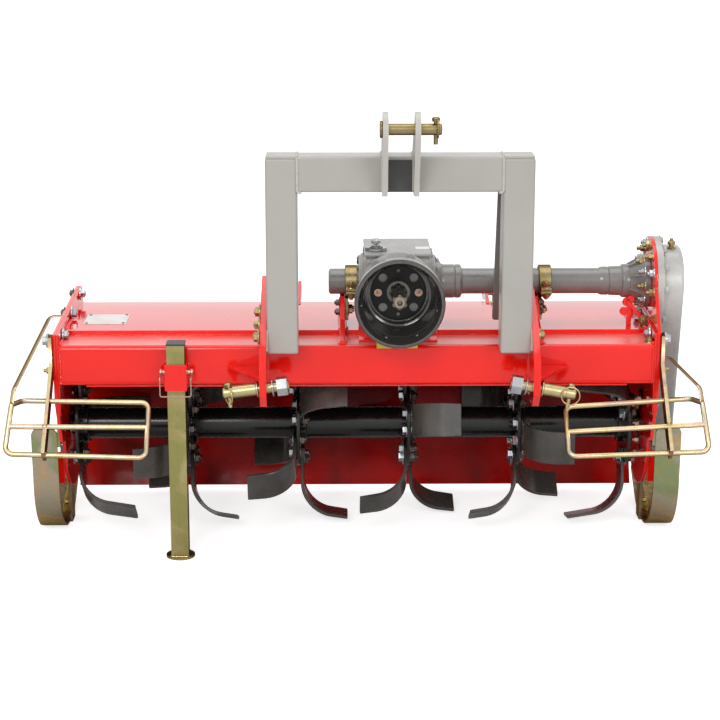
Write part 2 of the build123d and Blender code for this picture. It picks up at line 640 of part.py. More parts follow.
for side, way in SIDES:
    droop = radians(LINK_PIN_DROOP[side])
    out = (way * cos(droop), 0, -sin(droop))
    up = (-out[2] * way, 0, out[0] * way)
    middle_x = HITCH_X + way * (HOOP_WIDTH + LINK_PLATE_T) / 2
    pin_plane = Plane((middle_x, LINK_PIN_Y, LINK_PIN_Z), x_dir=(0, 1, 0), z_dir=out)
    linch_plane = Plane(
        pin_plane.offset(LINK_PIN_REACH - LINCH_FROM_TIP).origin, x_dir=(0, 1, 0), z_dir=up
    )
    collar_at = seat(LINK_COLLAR_R, droop)
    washer_at = -seat(LINK_WASHER_R, droop) - LINK_WASHER_SLACK - LINK_WASHER_T
    nut_at = washer_at - LINK_NUT_SLACK - LINK_NUT_T
    with BuildPart() as lower_pin:
        for start, end, radius in (
            (nut_at - LINK_THREAD_OUT, collar_at, LINK_SHANK_R),
            (washer_at, washer_at + LINK_WASHER_T, LINK_WASHER_R),
            (collar_at, collar_at + LINK_COLLAR_T, LINK_COLLAR_R),
            (collar_at + LINK_COLLAR_T, LINK_PIN_REACH - LINK_TIP_LENGTH, LINK_PIN_R),
            (LINK_PIN_REACH - LINK_TIP_LENGTH, LINK_PIN_REACH, LINK_TIP_R),
        ):
            with BuildSketch(pin_plane.offset(start)):
                Circle(radius)
            extrude(amount=end - start)
        with BuildSketch(pin_plane.offset(nut_at)):
            RegularPolygon(LINK_NUT_R, 6)
        extrude(amount=LINK_NUT_T)
        fillet(lower_pin.edges().sort_by(Axis(pin_plane.origin, out))[-1], radius=3.0)
        with BuildSketch(linch_plane):
            Circle(LINCH_R + RUN)
        extrude(amount=LINK_PIN_R + 5.0, both=True, mode=Mode.SUBTRACT)
    save(lower_pin, f"lower_pin_{side}")

    # Linch pin: a shank through the pin's end with its ring head above.
    with BuildPart() as linch_pin:
        with BuildSketch(linch_plane.offset(LINK_PIN_R + 9.0 - LINCH_LENGTH)):
            Circle(LINCH_R)
        extrude(amount=LINCH_LENGTH)
        with BuildSketch(linch_plane.offset(LINK_PIN_R + FIT)):
            Circle(8.0)
        extrude(amount=9.0)
    save(linch_pin, f"linch_pin_{side}")

with BuildPart() as top_clevis:
    for way in (-1, 1):
        middle = HITCH_X + way * (CLEVIS_GAP + CLEVIS_T) / 2
        with BuildSketch(across(middle - CLEVIS_T / 2)):
            with BuildLine():
                Polyline(
                    (TOP_PIN_Y - TOP_LUG_R, TOP_PIN_Z),
                    (TOP_PIN_Y - TOP_LUG_R, TOP_PIN_Z - 20.0),
                    (HOOP_FRONT_Y - 46.0, HOOP_TOP_Z - 48.0),
                    (HOOP_FRONT_Y - 40.0, HOOP_TOP_Z - CROSSBAR_HEIGHT - 2.0),
                    (HOOP_FRONT_Y, HOOP_TOP_Z - CROSSBAR_HEIGHT - 2.0),
                    (HOOP_FRONT_Y, HOOP_TOP_Z),
                    (BEAM_FRONT_Y - 6.0, HOOP_TOP_Z),
                    (BEAM_FRONT_Y - 6.0, HOOP_TOP_Z + 14.0),
                    (TOP_PIN_Y + TOP_LUG_R, TOP_PIN_Z + 12.0),
                    (TOP_PIN_Y + TOP_LUG_R, TOP_PIN_Z),
                )
                RadiusArc((TOP_PIN_Y + TOP_LUG_R, TOP_PIN_Z), (TOP_PIN_Y - TOP_LUG_R, TOP_PIN_Z), -TOP_LUG_R)
            make_face()
            with Locations((TOP_PIN_Y, TOP_PIN_Z)):
                Circle(TOP_PIN_R + RUN, mode=Mode.SUBTRACT)
        extrude(amount=CLEVIS_T)
save(top_clevis, "top_clevis")

TOP_PIN_START_X = HITCH_X - CLEVIS_GAP / 2 - CLEVIS_T - FIT
with BuildPart() as top_link_pin:
    with BuildSketch(across(TOP_PIN_START_X)):
        with Locations((TOP_PIN_Y, TOP_PIN_Z)):
            Circle(TOP_PIN_R)
    extrude(amount=TOP_PIN_LENGTH)
    with BuildSketch(across(TOP_PIN_START_X - 6.0)):
        with Locations((TOP_PIN_Y, TOP_PIN_Z)):
            Circle(TOP_PIN_R + 6.0)
    extrude(amount=6.0)
    linch_x = TOP_PIN_START_X + TOP_PIN_LENGTH - 14.0
    with BuildSketch(Plane.XY.offset(TOP_PIN_Z - 32.0)):
        with Locations((linch_x, TOP_PIN_Y)):
            Circle(LINCH_R)
    extrude(amount=58.0)
save(top_link_pin, "top_link_pin")

# Rear stays: flat bars from the uprights' backs down to the link plates' inner faces.
with BuildPart() as stays:
    for side, way in SIDES:
        plate_face = way * (HOOP_WIDTH / 2 - FIT)
        stay_start = HITCH_X + (plate_face if way < 0 else plate_face - STAY_WIDTH[side])
        with BuildSketch(across(stay_start)):
            with BuildLine():
                Line(
                    (BEAM_FRONT_Y + FIT, STAY_TOP_Z),
                    (BEAM_FRONT_Y + STAY_FOOT_BACK, DECK_Z + STAY_FOOT_RISE),
                )
                offset(amount=STAY_T, side=Side.LEFT)
            make_face()
        extrude(amount=STAY_WIDTH[side])
    # Rounded lower corners, away from the link plates
    feet = stays.faces().sort_by(Axis.Z)[:2].sort_by(Axis.X)
    inner_edges = [
        feet[0].edges().filter_by(Axis.X, reverse=True).sort_by(Axis.X)[-1],
        feet[1].edges().filter_by(Axis.X, reverse=True).sort_by(Axis.X)[0],
    ]
    fillet(inner_edges, radius=STAY_CORNER_R)
save(stays, "stays")

# ---------------------------------------------------------------------------
# Rotor
# ---------------------------------------------------------------------------
ROTOR_HALF = HOOD_HALF - ROTOR_END_GAP
TIP_R = (ROTOR_R**2 - (BLADE_WIDTH / 2) ** 2) ** 0.5  # a blade's end in the middle of its width
BEND_R = TIP_R - BLADE_REACH * tan(radians(BLADE_TIP_LEAN))  # where its two straight runs would meet
with BuildPart() as rotor_tube:
    with BuildSketch(across(-ROTOR_HALF)):
        with Locations((ROTOR_Y, ROTOR_Z)):
            Circle(ROTOR_TUBE_R)
    extrude(amount=2 * ROTOR_HALF)
    with BuildSketch(across(-PLATE_OUTER_X - 16.0)):
        with Locations((ROTOR_Y, ROTOR_Z)):
            Circle(ROTOR_JOURNAL_R)
    extrude(amount=2 * (PLATE_OUTER_X + 16.0))
save(rotor_tube, "rotor_tube")

for index in range(FLANGE_COUNT):
    flange_x = -HOOD_HALF + FLANGE_END_LEFT + FLANGE_PITCH * index
    phase = BLADE_PHASE + BLADE_STAGGER * index
    # Which way the blades bend: the end flanges carry only the blades that turn inwards.
    bends = []
    if index < FLANGE_COUNT - 1:
        bends += [(1, phase + 120 * k) for k in range(3)]
    if index > 0:
        bends += [(-1, phase - 60 + 120 * k) for k in range(3)]
    with BuildPart() as blade_flange:
        with BuildSketch(across(flange_x - FLANGE_T / 2)):
            with Locations((ROTOR_Y, ROTOR_Z)):
                Circle(FLANGE_R)
        extrude(amount=FLANGE_T)
        for way, angle in bends:
            turn = radians(angle)
            blade_plane = Plane(
                (flange_x + way * FLANGE_T / 2, ROTOR_Y, ROTOR_Z),
                x_dir=(1, 0, 0),
                z_dir=(0, -sin(turn), -cos(turn)),
            )
            with BuildSketch(blade_plane):
                with BuildLine():
                    FilletPolyline(
                        (0, BLADE_ROOT_R), (0, BEND_R), (way * BLADE_REACH, TIP_R), radius=BLADE_BEND_R
                    )
                    offset(amount=BLADE_T, side=Side.RIGHT if way > 0 else Side.LEFT)
                make_face()
            extrude(amount=BLADE_WIDTH / 2, both=True)
        collar_way = -1 if index == FLANGE_COUNT - 1 else 1
        with BuildSketch(across(flange_x + (FLANGE_T / 2 if collar_way > 0 else -FLANGE_T / 2 - COLLAR_LENGTH))):
            with Locations((ROTOR_Y, ROTOR_Z)):
                Circle(COLLAR_R)
        extrude(amount=COLLAR_LENGTH)
        with BuildSketch(across(flange_x - FLANGE_T / 2 - COLLAR_LENGTH)):
            with Locations((ROTOR_Y, ROTOR_Z)):
                Circle(ROTOR_TUBE_R + WELD)
        extrude(amount=FLANGE_T + 2 * COLLAR_LENGTH, mode=Mode.SUBTRACT)
    save(blade_flange, f"blade_flange_{index + 1}")

# ---------------------------------------------------------------------------
# Skids
# ---------------------------------------------------------------------------
for side, way in SIDES:
    strip_inner = way * (PLATE_OUTER_X + SKID_GAP)
    strip_start = strip_inner if way > 0 else strip_inner - SKID_WIDTH
    tab_start = way * PLATE_OUTER_X if way > 0 else way * (PLATE_OUTER_X + SKID_GAP)
    with BuildPart() as skid:
        with BuildSketch(across(strip_start)):
            with BuildLine():
                FilletPolyline(
                    (BEAM_FRONT_Y + 58.0, 282.0),
                    (BEAM_FRONT_Y + 72.0, 0),
                    (BEAM_FRONT_Y + 305.0, 0),
                    (BEAM_FRONT_Y + 415.0, 72.0),
                    radius=[150.0, 120.0],
                )
                offset(amount=SKID_T, side=Side.LEFT)
            make_face()
        extrude(amount=SKID_WIDTH)
        top = skid.faces().sort_by(Axis.Z)[-1]
        fillet(top.edges().filter_by(Axis.Y, reverse=True).sort_by(Axis.X)[0], radius=16.0)
        top = skid.faces().sort_by(Axis.Z)[-1]
        fillet(top.edges().filter_by(Axis.Y, reverse=True).sort_by(Axis.X)[-1], radius=16.0)
        # Tabs that are bolted to the side plate
        with BuildSketch(across(tab_start)):
            with BuildLine():
                Polyline(
                    (BEAM_FRONT_Y + 216.0, 0),
                    (BEAM_FRONT_Y + 262.0, 0),
                    (BEAM_FRONT_Y + 270.0, 128.0),
                    (BEAM_FRONT_Y + 214.0, 128.0),
                    close=True,
                )
            make_face()
            with BuildLine():
                Polyline(
                    (BEAM_FRONT_Y + 63.0, 236.0),
                    (BEAM_FRONT_Y + 61.0, 276.0),
                    (BEAM_FRONT_Y + 96.0, 270.0),
                    (BEAM_FRONT_Y + 96.0, 240.0),
                    close=True,
                )
            make_face()
        extrude(amount=SKID_GAP)
    save(skid, f"skid_{side}")

# ---------------------------------------------------------------------------
# Guard rails: bent rods welded behind a slanting flat bar
# ---------------------------------------------------------------------------
def between(low, high, z):
    """The point at height z on the straight line through two points."""
    share = (z - low[2]) / (high[2] - low[2])
    return tuple(a + share * (b - a) for a, b in zip(low, high))


for side, way in SIDES:
    anchor_y, anchor_z = RAIL_ANCHOR[side]
    outer_low = (way * RAIL_OUTER_X, BEAM_FRONT_Y - 155.0, RAIL_LOW_Z)
    outer_high = (way * (RAIL_OUTER_X - RAIL_LEAN), BEAM_FRONT_Y - 90.0, RAIL_BEND_Z)
    inner_low = (way * RAIL_INNER_X, BEAM_FRONT_Y - 172.0, RAIL_LOW_Z - 5.0)
    inner_high = (way * RAIL_INNER_X, BEAM_FRONT_Y - 76.0, RAIL_TOP_Z[side])
    # From the side plate forward and down, round the foot, up the inner end and back along the top
    corners = (
        (way * PLATE_OUTER_X, anchor_y, anchor_z),
        (way * (PLATE_OUTER_X + 30.0), anchor_y, anchor_z),
        outer_high,
        outer_low,
        inner_low,
        inner_high,
        (way * (RAIL_OUTER_X - 31.0), BEAM_FRONT_Y - 68.0, RAIL_OUTER_TOP_Z - 1.0),
        between(outer_low, outer_high, RAIL_OUTER_TOP_Z),
    )
    with BuildPart() as guard_rail:
        with BuildLine() as outer_path:
            FilletPolyline(*corners, radius=RAIL_BEND_R)
        with BuildSketch(Plane(outer_path.wires()[0] @ 0, z_dir=outer_path.wires()[0] % 0)):
            Circle(RAIL_ROD_R)
        sweep(path=outer_path.wires()[0])
        with BuildLine() as middle_path:
            Line(
                between(inner_low, inner_high, RAIL_MIDDLE_Z[side]),
                between(outer_low, outer_high, RAIL_OUTER_MIDDLE_Z),
            )
        with BuildSketch(Plane(middle_path.wires()[0] @ 0, z_dir=middle_path.wires()[0] % 0)):
            Circle(RAIL_ROD_R)
        sweep(path=middle_path.wires()[0])
        with BuildSketch(across(way * PLATE_OUTER_X if way > 0 else -PLATE_OUTER_X - RAIL_BAR_T)):
            with BuildLine():
                Polyline(*RAIL_BAR)
                offset(amount=RAIL_BAR_WIDTH, side=Side.LEFT)
            make_face()
        extrude(amount=RAIL_BAR_T)
    save(guard_rail, f"guard_rail_{side}")

# ---------------------------------------------------------------------------
# Parking stand
# ---------------------------------------------------------------------------
with BuildPart() as stand_socket:
    with BuildSketch(Plane.XY.offset(SOCKET_BOTTOM_Z)):
        with Locations((STAND_X, STAND_Y + FIT)):
            Rectangle(SOCKET_TUBE, SOCKET_TUBE)
            Rectangle(
                STAND_TUBE + 2 * SOCKET_CLEARANCE, STAND_TUBE + 2 * SOCKET_CLEARANCE, mode=Mode.SUBTRACT
            )
    extrude(amount=SOCKET_HEIGHT)
    with BuildSketch(across(STAND_X - SOCKET_TUBE)):
        with Locations((STAND_Y + FIT, STAND_PIN_Z)):
            Circle(STAND_PIN_R + RUN)
    extrude(amount=2 * SOCKET_TUBE, mode=Mode.SUBTRACT)
save(stand_socket, "stand_socket")

with BuildPart() as stand_leg:
    with BuildSketch(Plane.XY.offset(STAND_FOOT_T)):
        with Locations((STAND_X, STAND_Y + FIT)):
            Rectangle(STAND_TUBE, STAND_TUBE)
            Rectangle(STAND_TUBE - 2 * STAND_WALL, STAND_TUBE - 2 * STAND_WALL, mode=Mode.SUBTRACT)
    extrude(amount=STAND_TOP_Z - STAND_FOOT_T)
    with BuildSketch(Plane.XY):
        with Locations((STAND_X, STAND_Y + FIT)):
            Circle(STAND_FOOT_R)
    extrude(amount=STAND_FOOT_T)
    for step in range(STAND_HOLE_COUNT):
        with BuildSketch(across(STAND_X - STAND_TUBE)):
            with Locations((STAND_Y + FIT, STAND_PIN_Z - step * STAND_HOLE_PITCH)):
                Circle(STAND_PIN_R + RUN)
        extrude(amount=2 * STAND_TUBE, mode=Mode.SUBTRACT)
    # Plug in the tube's open top
    with BuildSketch(Plane.XY.offset(STAND_TOP_Z - 8.0)):
        with Locations((STAND_X, STAND_Y + FIT)):
            Rectangle(STAND_TUBE, STAND_TUBE)
    extrude(amount=8.0)
save(stand_leg, "stand_leg")

# The cross pin's two ends in the socket's walls; the leg slides between them.
PIN_END = STAND_PIN_LENGTH / 2 - STAND_TUBE / 2 - FIT
with BuildPart() as stand_pin:
    for start in (STAND_X - STAND_PIN_LENGTH / 2, STAND_X + STAND_TUBE / 2 + FIT):
        with BuildSketch(across(start)):
            with Locations((STAND_Y + FIT, STAND_PIN_Z)):
                Circle(STAND_PIN_R)
        extrude(amount=PIN_END)
save(stand_pin, "stand_pin")

# ---------------------------------------------------------------------------
# Rear flap, its hinge pin, and the spring rods that hold it
# ---------------------------------------------------------------------------
ROD_X = HOOP_WIDTH / 2 - HOOP_TUBE / 2  # spring rods stand behind the uprights
ROD_EYE_Y = FLAP_Y + ROD_EYE_OUT
ROD_EYE_Z = HINGE_Z - ROD_EYE_DROP
SWIVEL_Y = HOOD_REAR_Y + 42.0
SWIVEL_Z = DECK_REAR_Z + 6.0
ROD_LENGTH = hypot(SWIVEL_Y - ROD_EYE_Y, SWIVEL_Z - ROD_EYE_Z)
ROD_DIRECTION = (0, (SWIVEL_Y - ROD_EYE_Y) / ROD_LENGTH, (SWIVEL_Z - ROD_EYE_Z) / ROD_LENGTH)

with BuildPart() as rear_flap:
    with BuildSketch(across(-FLAP_HALF)):
        with BuildLine():
            Polyline(
                (FLAP_Y, HINGE_Z),
                (FLAP_Y, FLAP_CREASE_Z),
                (FLAP_Y - FLAP_TUCK, FLAP_BOTTOM_Z),
            )
            offset(amount=FLAP_T, side=Side.RIGHT)
        make_face()
    extrude(amount=2 * FLAP_HALF)
    # Notches round the hood's knuckles
    for x in STATION_X:
        with BuildSketch(across(x - 1.5 * KNUCKLE_LENGTH - 6.0)):
            with Locations((HINGE_Y, HINGE_Z)):
                Rectangle(3 * KNUCKLE_R, 4 * KNUCKLE_R)
        extrude(amount=3 * KNUCKLE_LENGTH + 12.0, mode=Mode.SUBTRACT)
        with BuildSketch(across(x - KNUCKLE_LENGTH / 2)):
            with Locations((HINGE_Y, HINGE_Z)):
                Circle(KNUCKLE_R)
            with Locations((FLAP_Y - FLAP_T / 2, HINGE_Z - 1.5 * KNUCKLE_R)):
                Rectangle(FLAP_T, 3 * KNUCKLE_R)
        extrude(amount=KNUCKLE_LENGTH)
    with BuildSketch(across(-FLAP_HALF)):
        with Locations((HINGE_Y, HINGE_Z)):
            Circle(HINGE_PIN_R + RUN)
    extrude(amount=2 * FLAP_HALF, mode=Mode.SUBTRACT)
    # Ears for the spring rods' eyes
    for way in (-1, 1):
        middle = HITCH_X + way * ROD_X
        for start in (middle - 20.0, middle + 12.0):
            with BuildSketch(across(start)):
                with Locations((FLAP_Y + 19.0, ROD_EYE_Z)):
                    Rectangle(38.0, 36.0)
                with Locations((ROD_EYE_Y, ROD_EYE_Z)):
                    Circle(6.0 + RUN, mode=Mode.SUBTRACT)
            extrude(amount=8.0)
save(rear_flap, "rear_flap")

with BuildPart() as hinge_pin:
    with BuildSketch(across(-HOOD_HALF)):
        with Locations((HINGE_Y, HINGE_Z)):
            Circle(HINGE_PIN_R)
    extrude(amount=HOOD_WIDTH)
save(hinge_pin, "hinge_pin")

eye_plane = Plane((0, ROD_EYE_Y, ROD_EYE_Z), x_dir=(1, 0, 0), z_dir=ROD_DIRECTION)
with BuildPart() as spring_rods:
    for way in (-1, 1):
        middle = HITCH_X + way * ROD_X
        with BuildSketch(eye_plane.offset(13.0)):
            with Locations((middle, 0)):
                Circle(SPRING_ROD_R)
        extrude(amount=ROD_LENGTH + 22.0)
        with BuildSketch(eye_plane.offset(26.0)):
            with Locations((middle, 0)):
                Circle(SPRING_R)
        extrude(amount=SPRING_LENGTH)
        with BuildSketch(eye_plane.offset(ROD_LENGTH + SWIVEL_R + FIT)):
            with Locations((middle, 0)):
                Circle(SPRING_ROD_R + 6.0)
        extrude(amount=12.0)
        with BuildSketch(across(middle - 11.5)):
            with Locations((ROD_EYE_Y, ROD_EYE_Z)):
                Circle(14.0)
                Circle(6.0 + ROD_EYE_PLAY, mode=Mode.SUBTRACT)
        extrude(amount=23.0)
save(spring_rods, "spring_rods")

with BuildPart() as eye_pins:
    for way in (-1, 1):
        with BuildSketch(across(HITCH_X + way * ROD_X - 24.0)):
            with Locations((ROD_EYE_Y, ROD_EYE_Z)):
                Circle(6.0)
        extrude(amount=48.0)
save(eye_pins, "eye_pins")

with BuildPart() as swivels:
    for way in (-1, 1):
        middle = HITCH_X + way * ROD_X
        with BuildSketch(across(middle - 32.0)):
            with Locations((SWIVEL_Y, SWIVEL_Z)):
                Circle(SWIVEL_R)
        extrude(amount=64.0)
        with BuildSketch(Plane((middle, SWIVEL_Y, SWIVEL_Z), x_dir=(1, 0, 0), z_dir=ROD_DIRECTION)):
            Circle(SPRING_ROD_R + RUN)
        extrude(amount=2 * SWIVEL_R, both=True, mode=Mode.SUBTRACT)
save(swivels, "swivels")

with BuildPart() as rod_brackets:
    for way in (-1, 1):
        middle = HITCH_X + way * ROD_X
        for start in (middle - 32.0, middle + 24.0):
            with BuildSketch(across(start)):
                with BuildLine():
                    Polyline(
                        (DECK_REAR_Y - 46.0, DECK_REAR_Z + 4.0),
                        (SWIVEL_Y, SWIVEL_Z + 24.0),
                        (SWIVEL_Y + 22.0, SWIVEL_Z),
                        (SWIVEL_Y, SWIVEL_Z - 24.0),
                        (DECK_REAR_Y + 4.0, DECK_REAR_Z),
                        close=True,
                    )
                make_face()
                with Locations((SWIVEL_Y, SWIVEL_Z)):
                    Circle(SWIVEL_R + RUN, mode=Mode.SUBTRACT)
            extrude(amount=8.0)
save(rod_brackets, "rod_brackets")
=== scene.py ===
import json
import math

import bmesh
import bpy
from bpy.props import FloatProperty, FloatVectorProperty, PointerProperty
from mathutils import Matrix, Vector


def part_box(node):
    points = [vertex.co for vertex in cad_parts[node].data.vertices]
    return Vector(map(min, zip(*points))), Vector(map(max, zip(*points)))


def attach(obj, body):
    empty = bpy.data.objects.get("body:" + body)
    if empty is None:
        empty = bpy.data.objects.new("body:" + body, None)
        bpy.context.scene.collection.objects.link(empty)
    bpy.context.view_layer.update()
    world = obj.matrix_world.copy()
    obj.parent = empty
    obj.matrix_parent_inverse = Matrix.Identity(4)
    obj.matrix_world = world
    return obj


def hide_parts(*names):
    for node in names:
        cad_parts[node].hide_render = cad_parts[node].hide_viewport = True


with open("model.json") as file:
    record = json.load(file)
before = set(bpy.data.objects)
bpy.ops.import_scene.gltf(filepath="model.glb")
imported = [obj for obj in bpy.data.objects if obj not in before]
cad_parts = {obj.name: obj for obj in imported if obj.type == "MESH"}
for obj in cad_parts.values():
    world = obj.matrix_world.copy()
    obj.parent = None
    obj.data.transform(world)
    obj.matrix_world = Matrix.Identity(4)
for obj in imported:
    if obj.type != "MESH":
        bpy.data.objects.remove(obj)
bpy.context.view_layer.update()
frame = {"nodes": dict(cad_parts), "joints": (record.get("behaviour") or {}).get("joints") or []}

bl_info = {
    "name": "Rotavator",
    "version": (1, 0, 0),
    "blender": (4, 5, 0),
    "location": "3D View > Sidebar > Rotavator",
    "description": "Dresses the frame of a tractor-mounted rotavator",
    "category": "Object",
}

# Forms are modelled in millimetres and brought to metres when they become pieces.
MM = 0.001
X, Y, Z = Vector((1, 0, 0)), Vector((0, 1, 0)), Vector((0, 0, 1))
SIDES = (("left", -1), ("right", 1))


def span(node):
    """Lowest and highest corner of a frame node, in millimetres."""
    low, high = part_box(node)
    return low / MM, high / MM


def middle(node):
    """Centre of a frame node's box, in millimetres."""
    low, high = span(node)
    return (low + high) / 2


def joint_axis(name):
    """The direction of a frame joint."""
    return next(Vector(joint["axis"]).normalized() for joint in frame["joints"] if joint["name"] == name)


# ---------------------------------------------------------------------------
# Places read from the frame
# ---------------------------------------------------------------------------
BEAM_LOW, BEAM_HIGH = span("front_beam")
DECK_LOW, DECK_HIGH = span("deck")
PLATE_X = {"left": span("side_plate_left")[0].x, "right": span("side_plate_right")[1].x}
PLATE_T = span("side_plate_left")[1].x - span("side_plate_left")[0].x
ROTOR = middle("rotor_tube")
AXLE = middle("stub_tube")
SHAFT = middle("input_shaft")
GEARBOX_LOW, GEARBOX_HIGH = span("gearbox")
GUARD_LOW, GUARD_HIGH = span("pto_guard")
CASE_LOW = span("side_case")[0]
AXLE_LOW, AXLE_HIGH = span("axle_tube")
CLAMP_LOW, CLAMP_HIGH = span("tube_clamps")
POST_LOW, POST_HIGH = span("tube_posts")
CLEVIS_LOW, CLEVIS_HIGH = span("top_clevis")
CROSS_LOW, CROSS_HIGH = span("crossbar")
SOCKET_LOW, SOCKET_HIGH = span("stand_socket")
BLADE_TIP = 236.6  # Radius of the blades' outer corners
OUTER_REACH, INNER_REACH = 5.0, -19.0  # What blades reach beyond half the flanges' pitch
FLANGE_FIRST_X = span("blade_flange_1")[0].x
FLANGE_LAST_X = span("blade_flange_6")[1].x
BEARING_CIRCLE = 92.0  # Radius of the bolt circles inside the side plates


# ---------------------------------------------------------------------------
# What a user would change
# ---------------------------------------------------------------------------
def linear(red, green, blue):
    """Scene colour of a colour given in steps of 255."""
    parts = [value / 255 for value in (red, green, blue)]
    return tuple(((v + 0.055) / 1.055) ** 2.4 if v > 0.04 else v / 12.92 for v in parts) + (1.0,)


def colour(name, description, *steps):
    """A colour property with its default in steps of 255."""
    return FloatVectorProperty(
        name=name, description=description, default=linear(*steps), size=4, min=0.0, max=1.0, subtype="COLOR"
    )


def length(name, description, default):
    """A length property, in metres."""
    return FloatProperty(name=name, description=description, default=default, min=0.0, unit="LENGTH")


def rotation(name, description, degrees):
    """An angle property, its default given in degrees."""
    default = math.radians(degrees)
    return FloatProperty(name=name, description=description, default=default, unit="ROTATION")


class RotavatorFinish(bpy.types.PropertyGroup):
    """Colours of the machine's paints and metals."""

    red: colour("Red paint", "Gloss paint of the hood, plates and beam", 248, 27, 15)
    red_shade: colour("Red shade", "Where the red paint lies thicker", 224, 17, 10)
    # Hood inside: the colour of the painted shade under the hood.
    inside: colour("Hood inside", "The hood's shaded, dusty inner side", 46, 24, 17)
    hoop: colour("Hoop grey", "Paint of the hitch hoop", 176, 173, 166)
    gearbox: colour("Gearbox grey", "Paint on the gearbox casting", 169, 168, 165)
    tube: colour("Axle grey", "Paint of the axle tube", 128, 126, 122)
    case: colour("Housing grey", "Paint of the side gear housing", 212, 211, 206)
    rotor: colour("Rotor black", "Satin paint of the rotor", 20, 18, 15)
    # The paler blade colour is a painted sheen on the blades.
    blade: colour("Blade black", "Paler satin of the blades", 80, 77, 72)
    guard: colour("Guard black", "Moulded drive shaft guard", 60, 56, 53)
    zinc: colour("Yellow zinc", "Mean colour of the yellow zinc film", 190, 174, 130)
    bright: colour("White zinc", "Bolts and washers", 188, 191, 193)
    steel: colour("Machined steel", "Splined shaft", 158, 146, 128)
    sign: colour("Sign plate", "Bare plate on the deck", 238, 236, 232)


class RotavatorHardware(bpy.types.PropertyGroup):
    """Sizes of the bolts and seams."""

    edge: length("Edge radius", "Rounding of cut steel edges", 0.0012)
    plate_bolt: length("Plate bolt", "Width across flats of the side plates' large bolts", 0.026)
    flange_bolt: length("Flange bolt", "Width across flats of the bell and case bolts", 0.015)
    blade_bolt: length("Blade bolt", "Width across flats of the blade bolts", 0.021)
    weld: length("Weld bead", "Radius of the weld beads", 0.0035)


class RotavatorRotor(bpy.types.PropertyGroup):
    """The blades' shape and how they are set round the rotor."""

    first: rotation("First blade", "Turn of the first blade", 69)
    stagger: rotation("Stagger", "Turn from flange to flange", -17.2)
    blade_width: length("Blade width", "Width of a blade at its bend", 0.078)
    blade_thick: length("Blade thickness", "Thickness of a blade", 0.008)
    blade_bend: length("Blade bend", "Outer radius of a blade's bend", 0.085)
    blade_lean: rotation("Tip lean", "How far a blade's end leans outwards", 9)
    blade_root: length("Blade root", "Where a blade starts, from the rotor's axis", 0.062)
    flange: length("Flange radius", "Radius of a blade flange", 0.105)


class RotavatorStage(bpy.types.PropertyGroup):
    """Camera, lamps and floor."""

    lens: FloatProperty(name="Lens", description="Focal length in millimetres", default=96.5, min=10.0)
    sky: FloatProperty(name="Sky", description="Level of the light from all round", default=0.62, min=0.0)
    front: FloatProperty(name="Front lamp", description="Power of the front lamp", default=94.0, min=0.0)
    top: FloatProperty(name="Top lamp", description="Power of the top lamp", default=40.0, min=0.0)
    floor: colour("Floor", "Pale floor under the machine", 236, 236, 236)


# ---------------------------------------------------------------------------
# Shader groups
# ---------------------------------------------------------------------------
def feed(tree, socket, value):
    """Links a value to a socket, or sets it as the socket's own."""
    if isinstance(value, bpy.types.NodeSocket):
        tree.links.new(value, socket)
    else:
        socket.default_value = value


def add(tree, kind, inputs=None, **settings):
    """Adds a node, sets its own settings, and fills or links its inputs."""
    node = tree.nodes.new(kind)
    for key, value in settings.items():
        setattr(node, key, value)
    for key, value in (inputs or {}).items():
        feed(tree, node.inputs[key], value)
    return node


def blend_colour(tree, factor, first, second, mode="MIX"):
    """Mixes two colours by a factor."""
    node = add(tree, "ShaderNodeMix", {0: factor, 6: first, 7: second}, data_type="RGBA", blend_type=mode)
    return node.outputs[2]


def remap(tree, value, low, high, to_low=0.0, to_high=1.0):
    """Stretches a value from one range to another."""
    ends = {"Value": value, "From Min": low, "From Max": high, "To Min": to_low, "To Max": to_high}
    return add(tree, "ShaderNodeMapRange", ends).outputs["Result"]


def noise(tree, vector, scale, detail=2.0, distortion=0.0):
    """A noise value over a vector."""
    given = {"Vector": vector, "Scale": scale, "Detail": detail, "Distortion": distortion}
    return add(tree, "ShaderNodeTexNoise", given).outputs["Fac"]


def combine(tree, first, second, operation="MULTIPLY"):
    """Two values joined by one operation."""
    return add(tree, "ShaderNodeMath", {0: first, 1: second}, operation=operation).outputs[0]


def vector_step(tree, operation, *values):
    """The node of one operation on vectors."""
    return add(tree, "ShaderNodeVectorMath", dict(enumerate(values)), operation=operation)


def place_on(tree):
    """Where a point lies on the machine, in metres."""
    return add(tree, "ShaderNodeTexCoord").outputs["Object"]


def height_on(tree):
    """How high a point lies on the machine, in metres."""
    return add(tree, "ShaderNodeSeparateXYZ", {"Vector": place_on(tree)}).outputs["Z"]


def bump(tree, height, strength, distance, **more):
    """The normal of a surface raised by a height."""
    given = {"Height": height, "Strength": strength, "Distance": distance, **more}
    return add(tree, "ShaderNodeBump", given).outputs["Normal"]


def new_group(name, inputs, outputs):
    """An empty shader group with its sockets, and its two end nodes."""
    group = bpy.data.node_groups.new(name, "ShaderNodeTree")
    for label, kind, default in inputs:
        socket = group.interface.new_socket(label, in_out="INPUT", socket_type=kind)
        socket.default_value = default
    for label, kind in outputs:
        group.interface.new_socket(label, in_out="OUTPUT", socket_type=kind)
    return group, group.nodes.new("NodeGroupInput").outputs, group.nodes.new("NodeGroupOutput").inputs


NUMBER, TINT, VECTOR = "NodeSocketFloat", "NodeSocketColor", "NodeSocketVector"


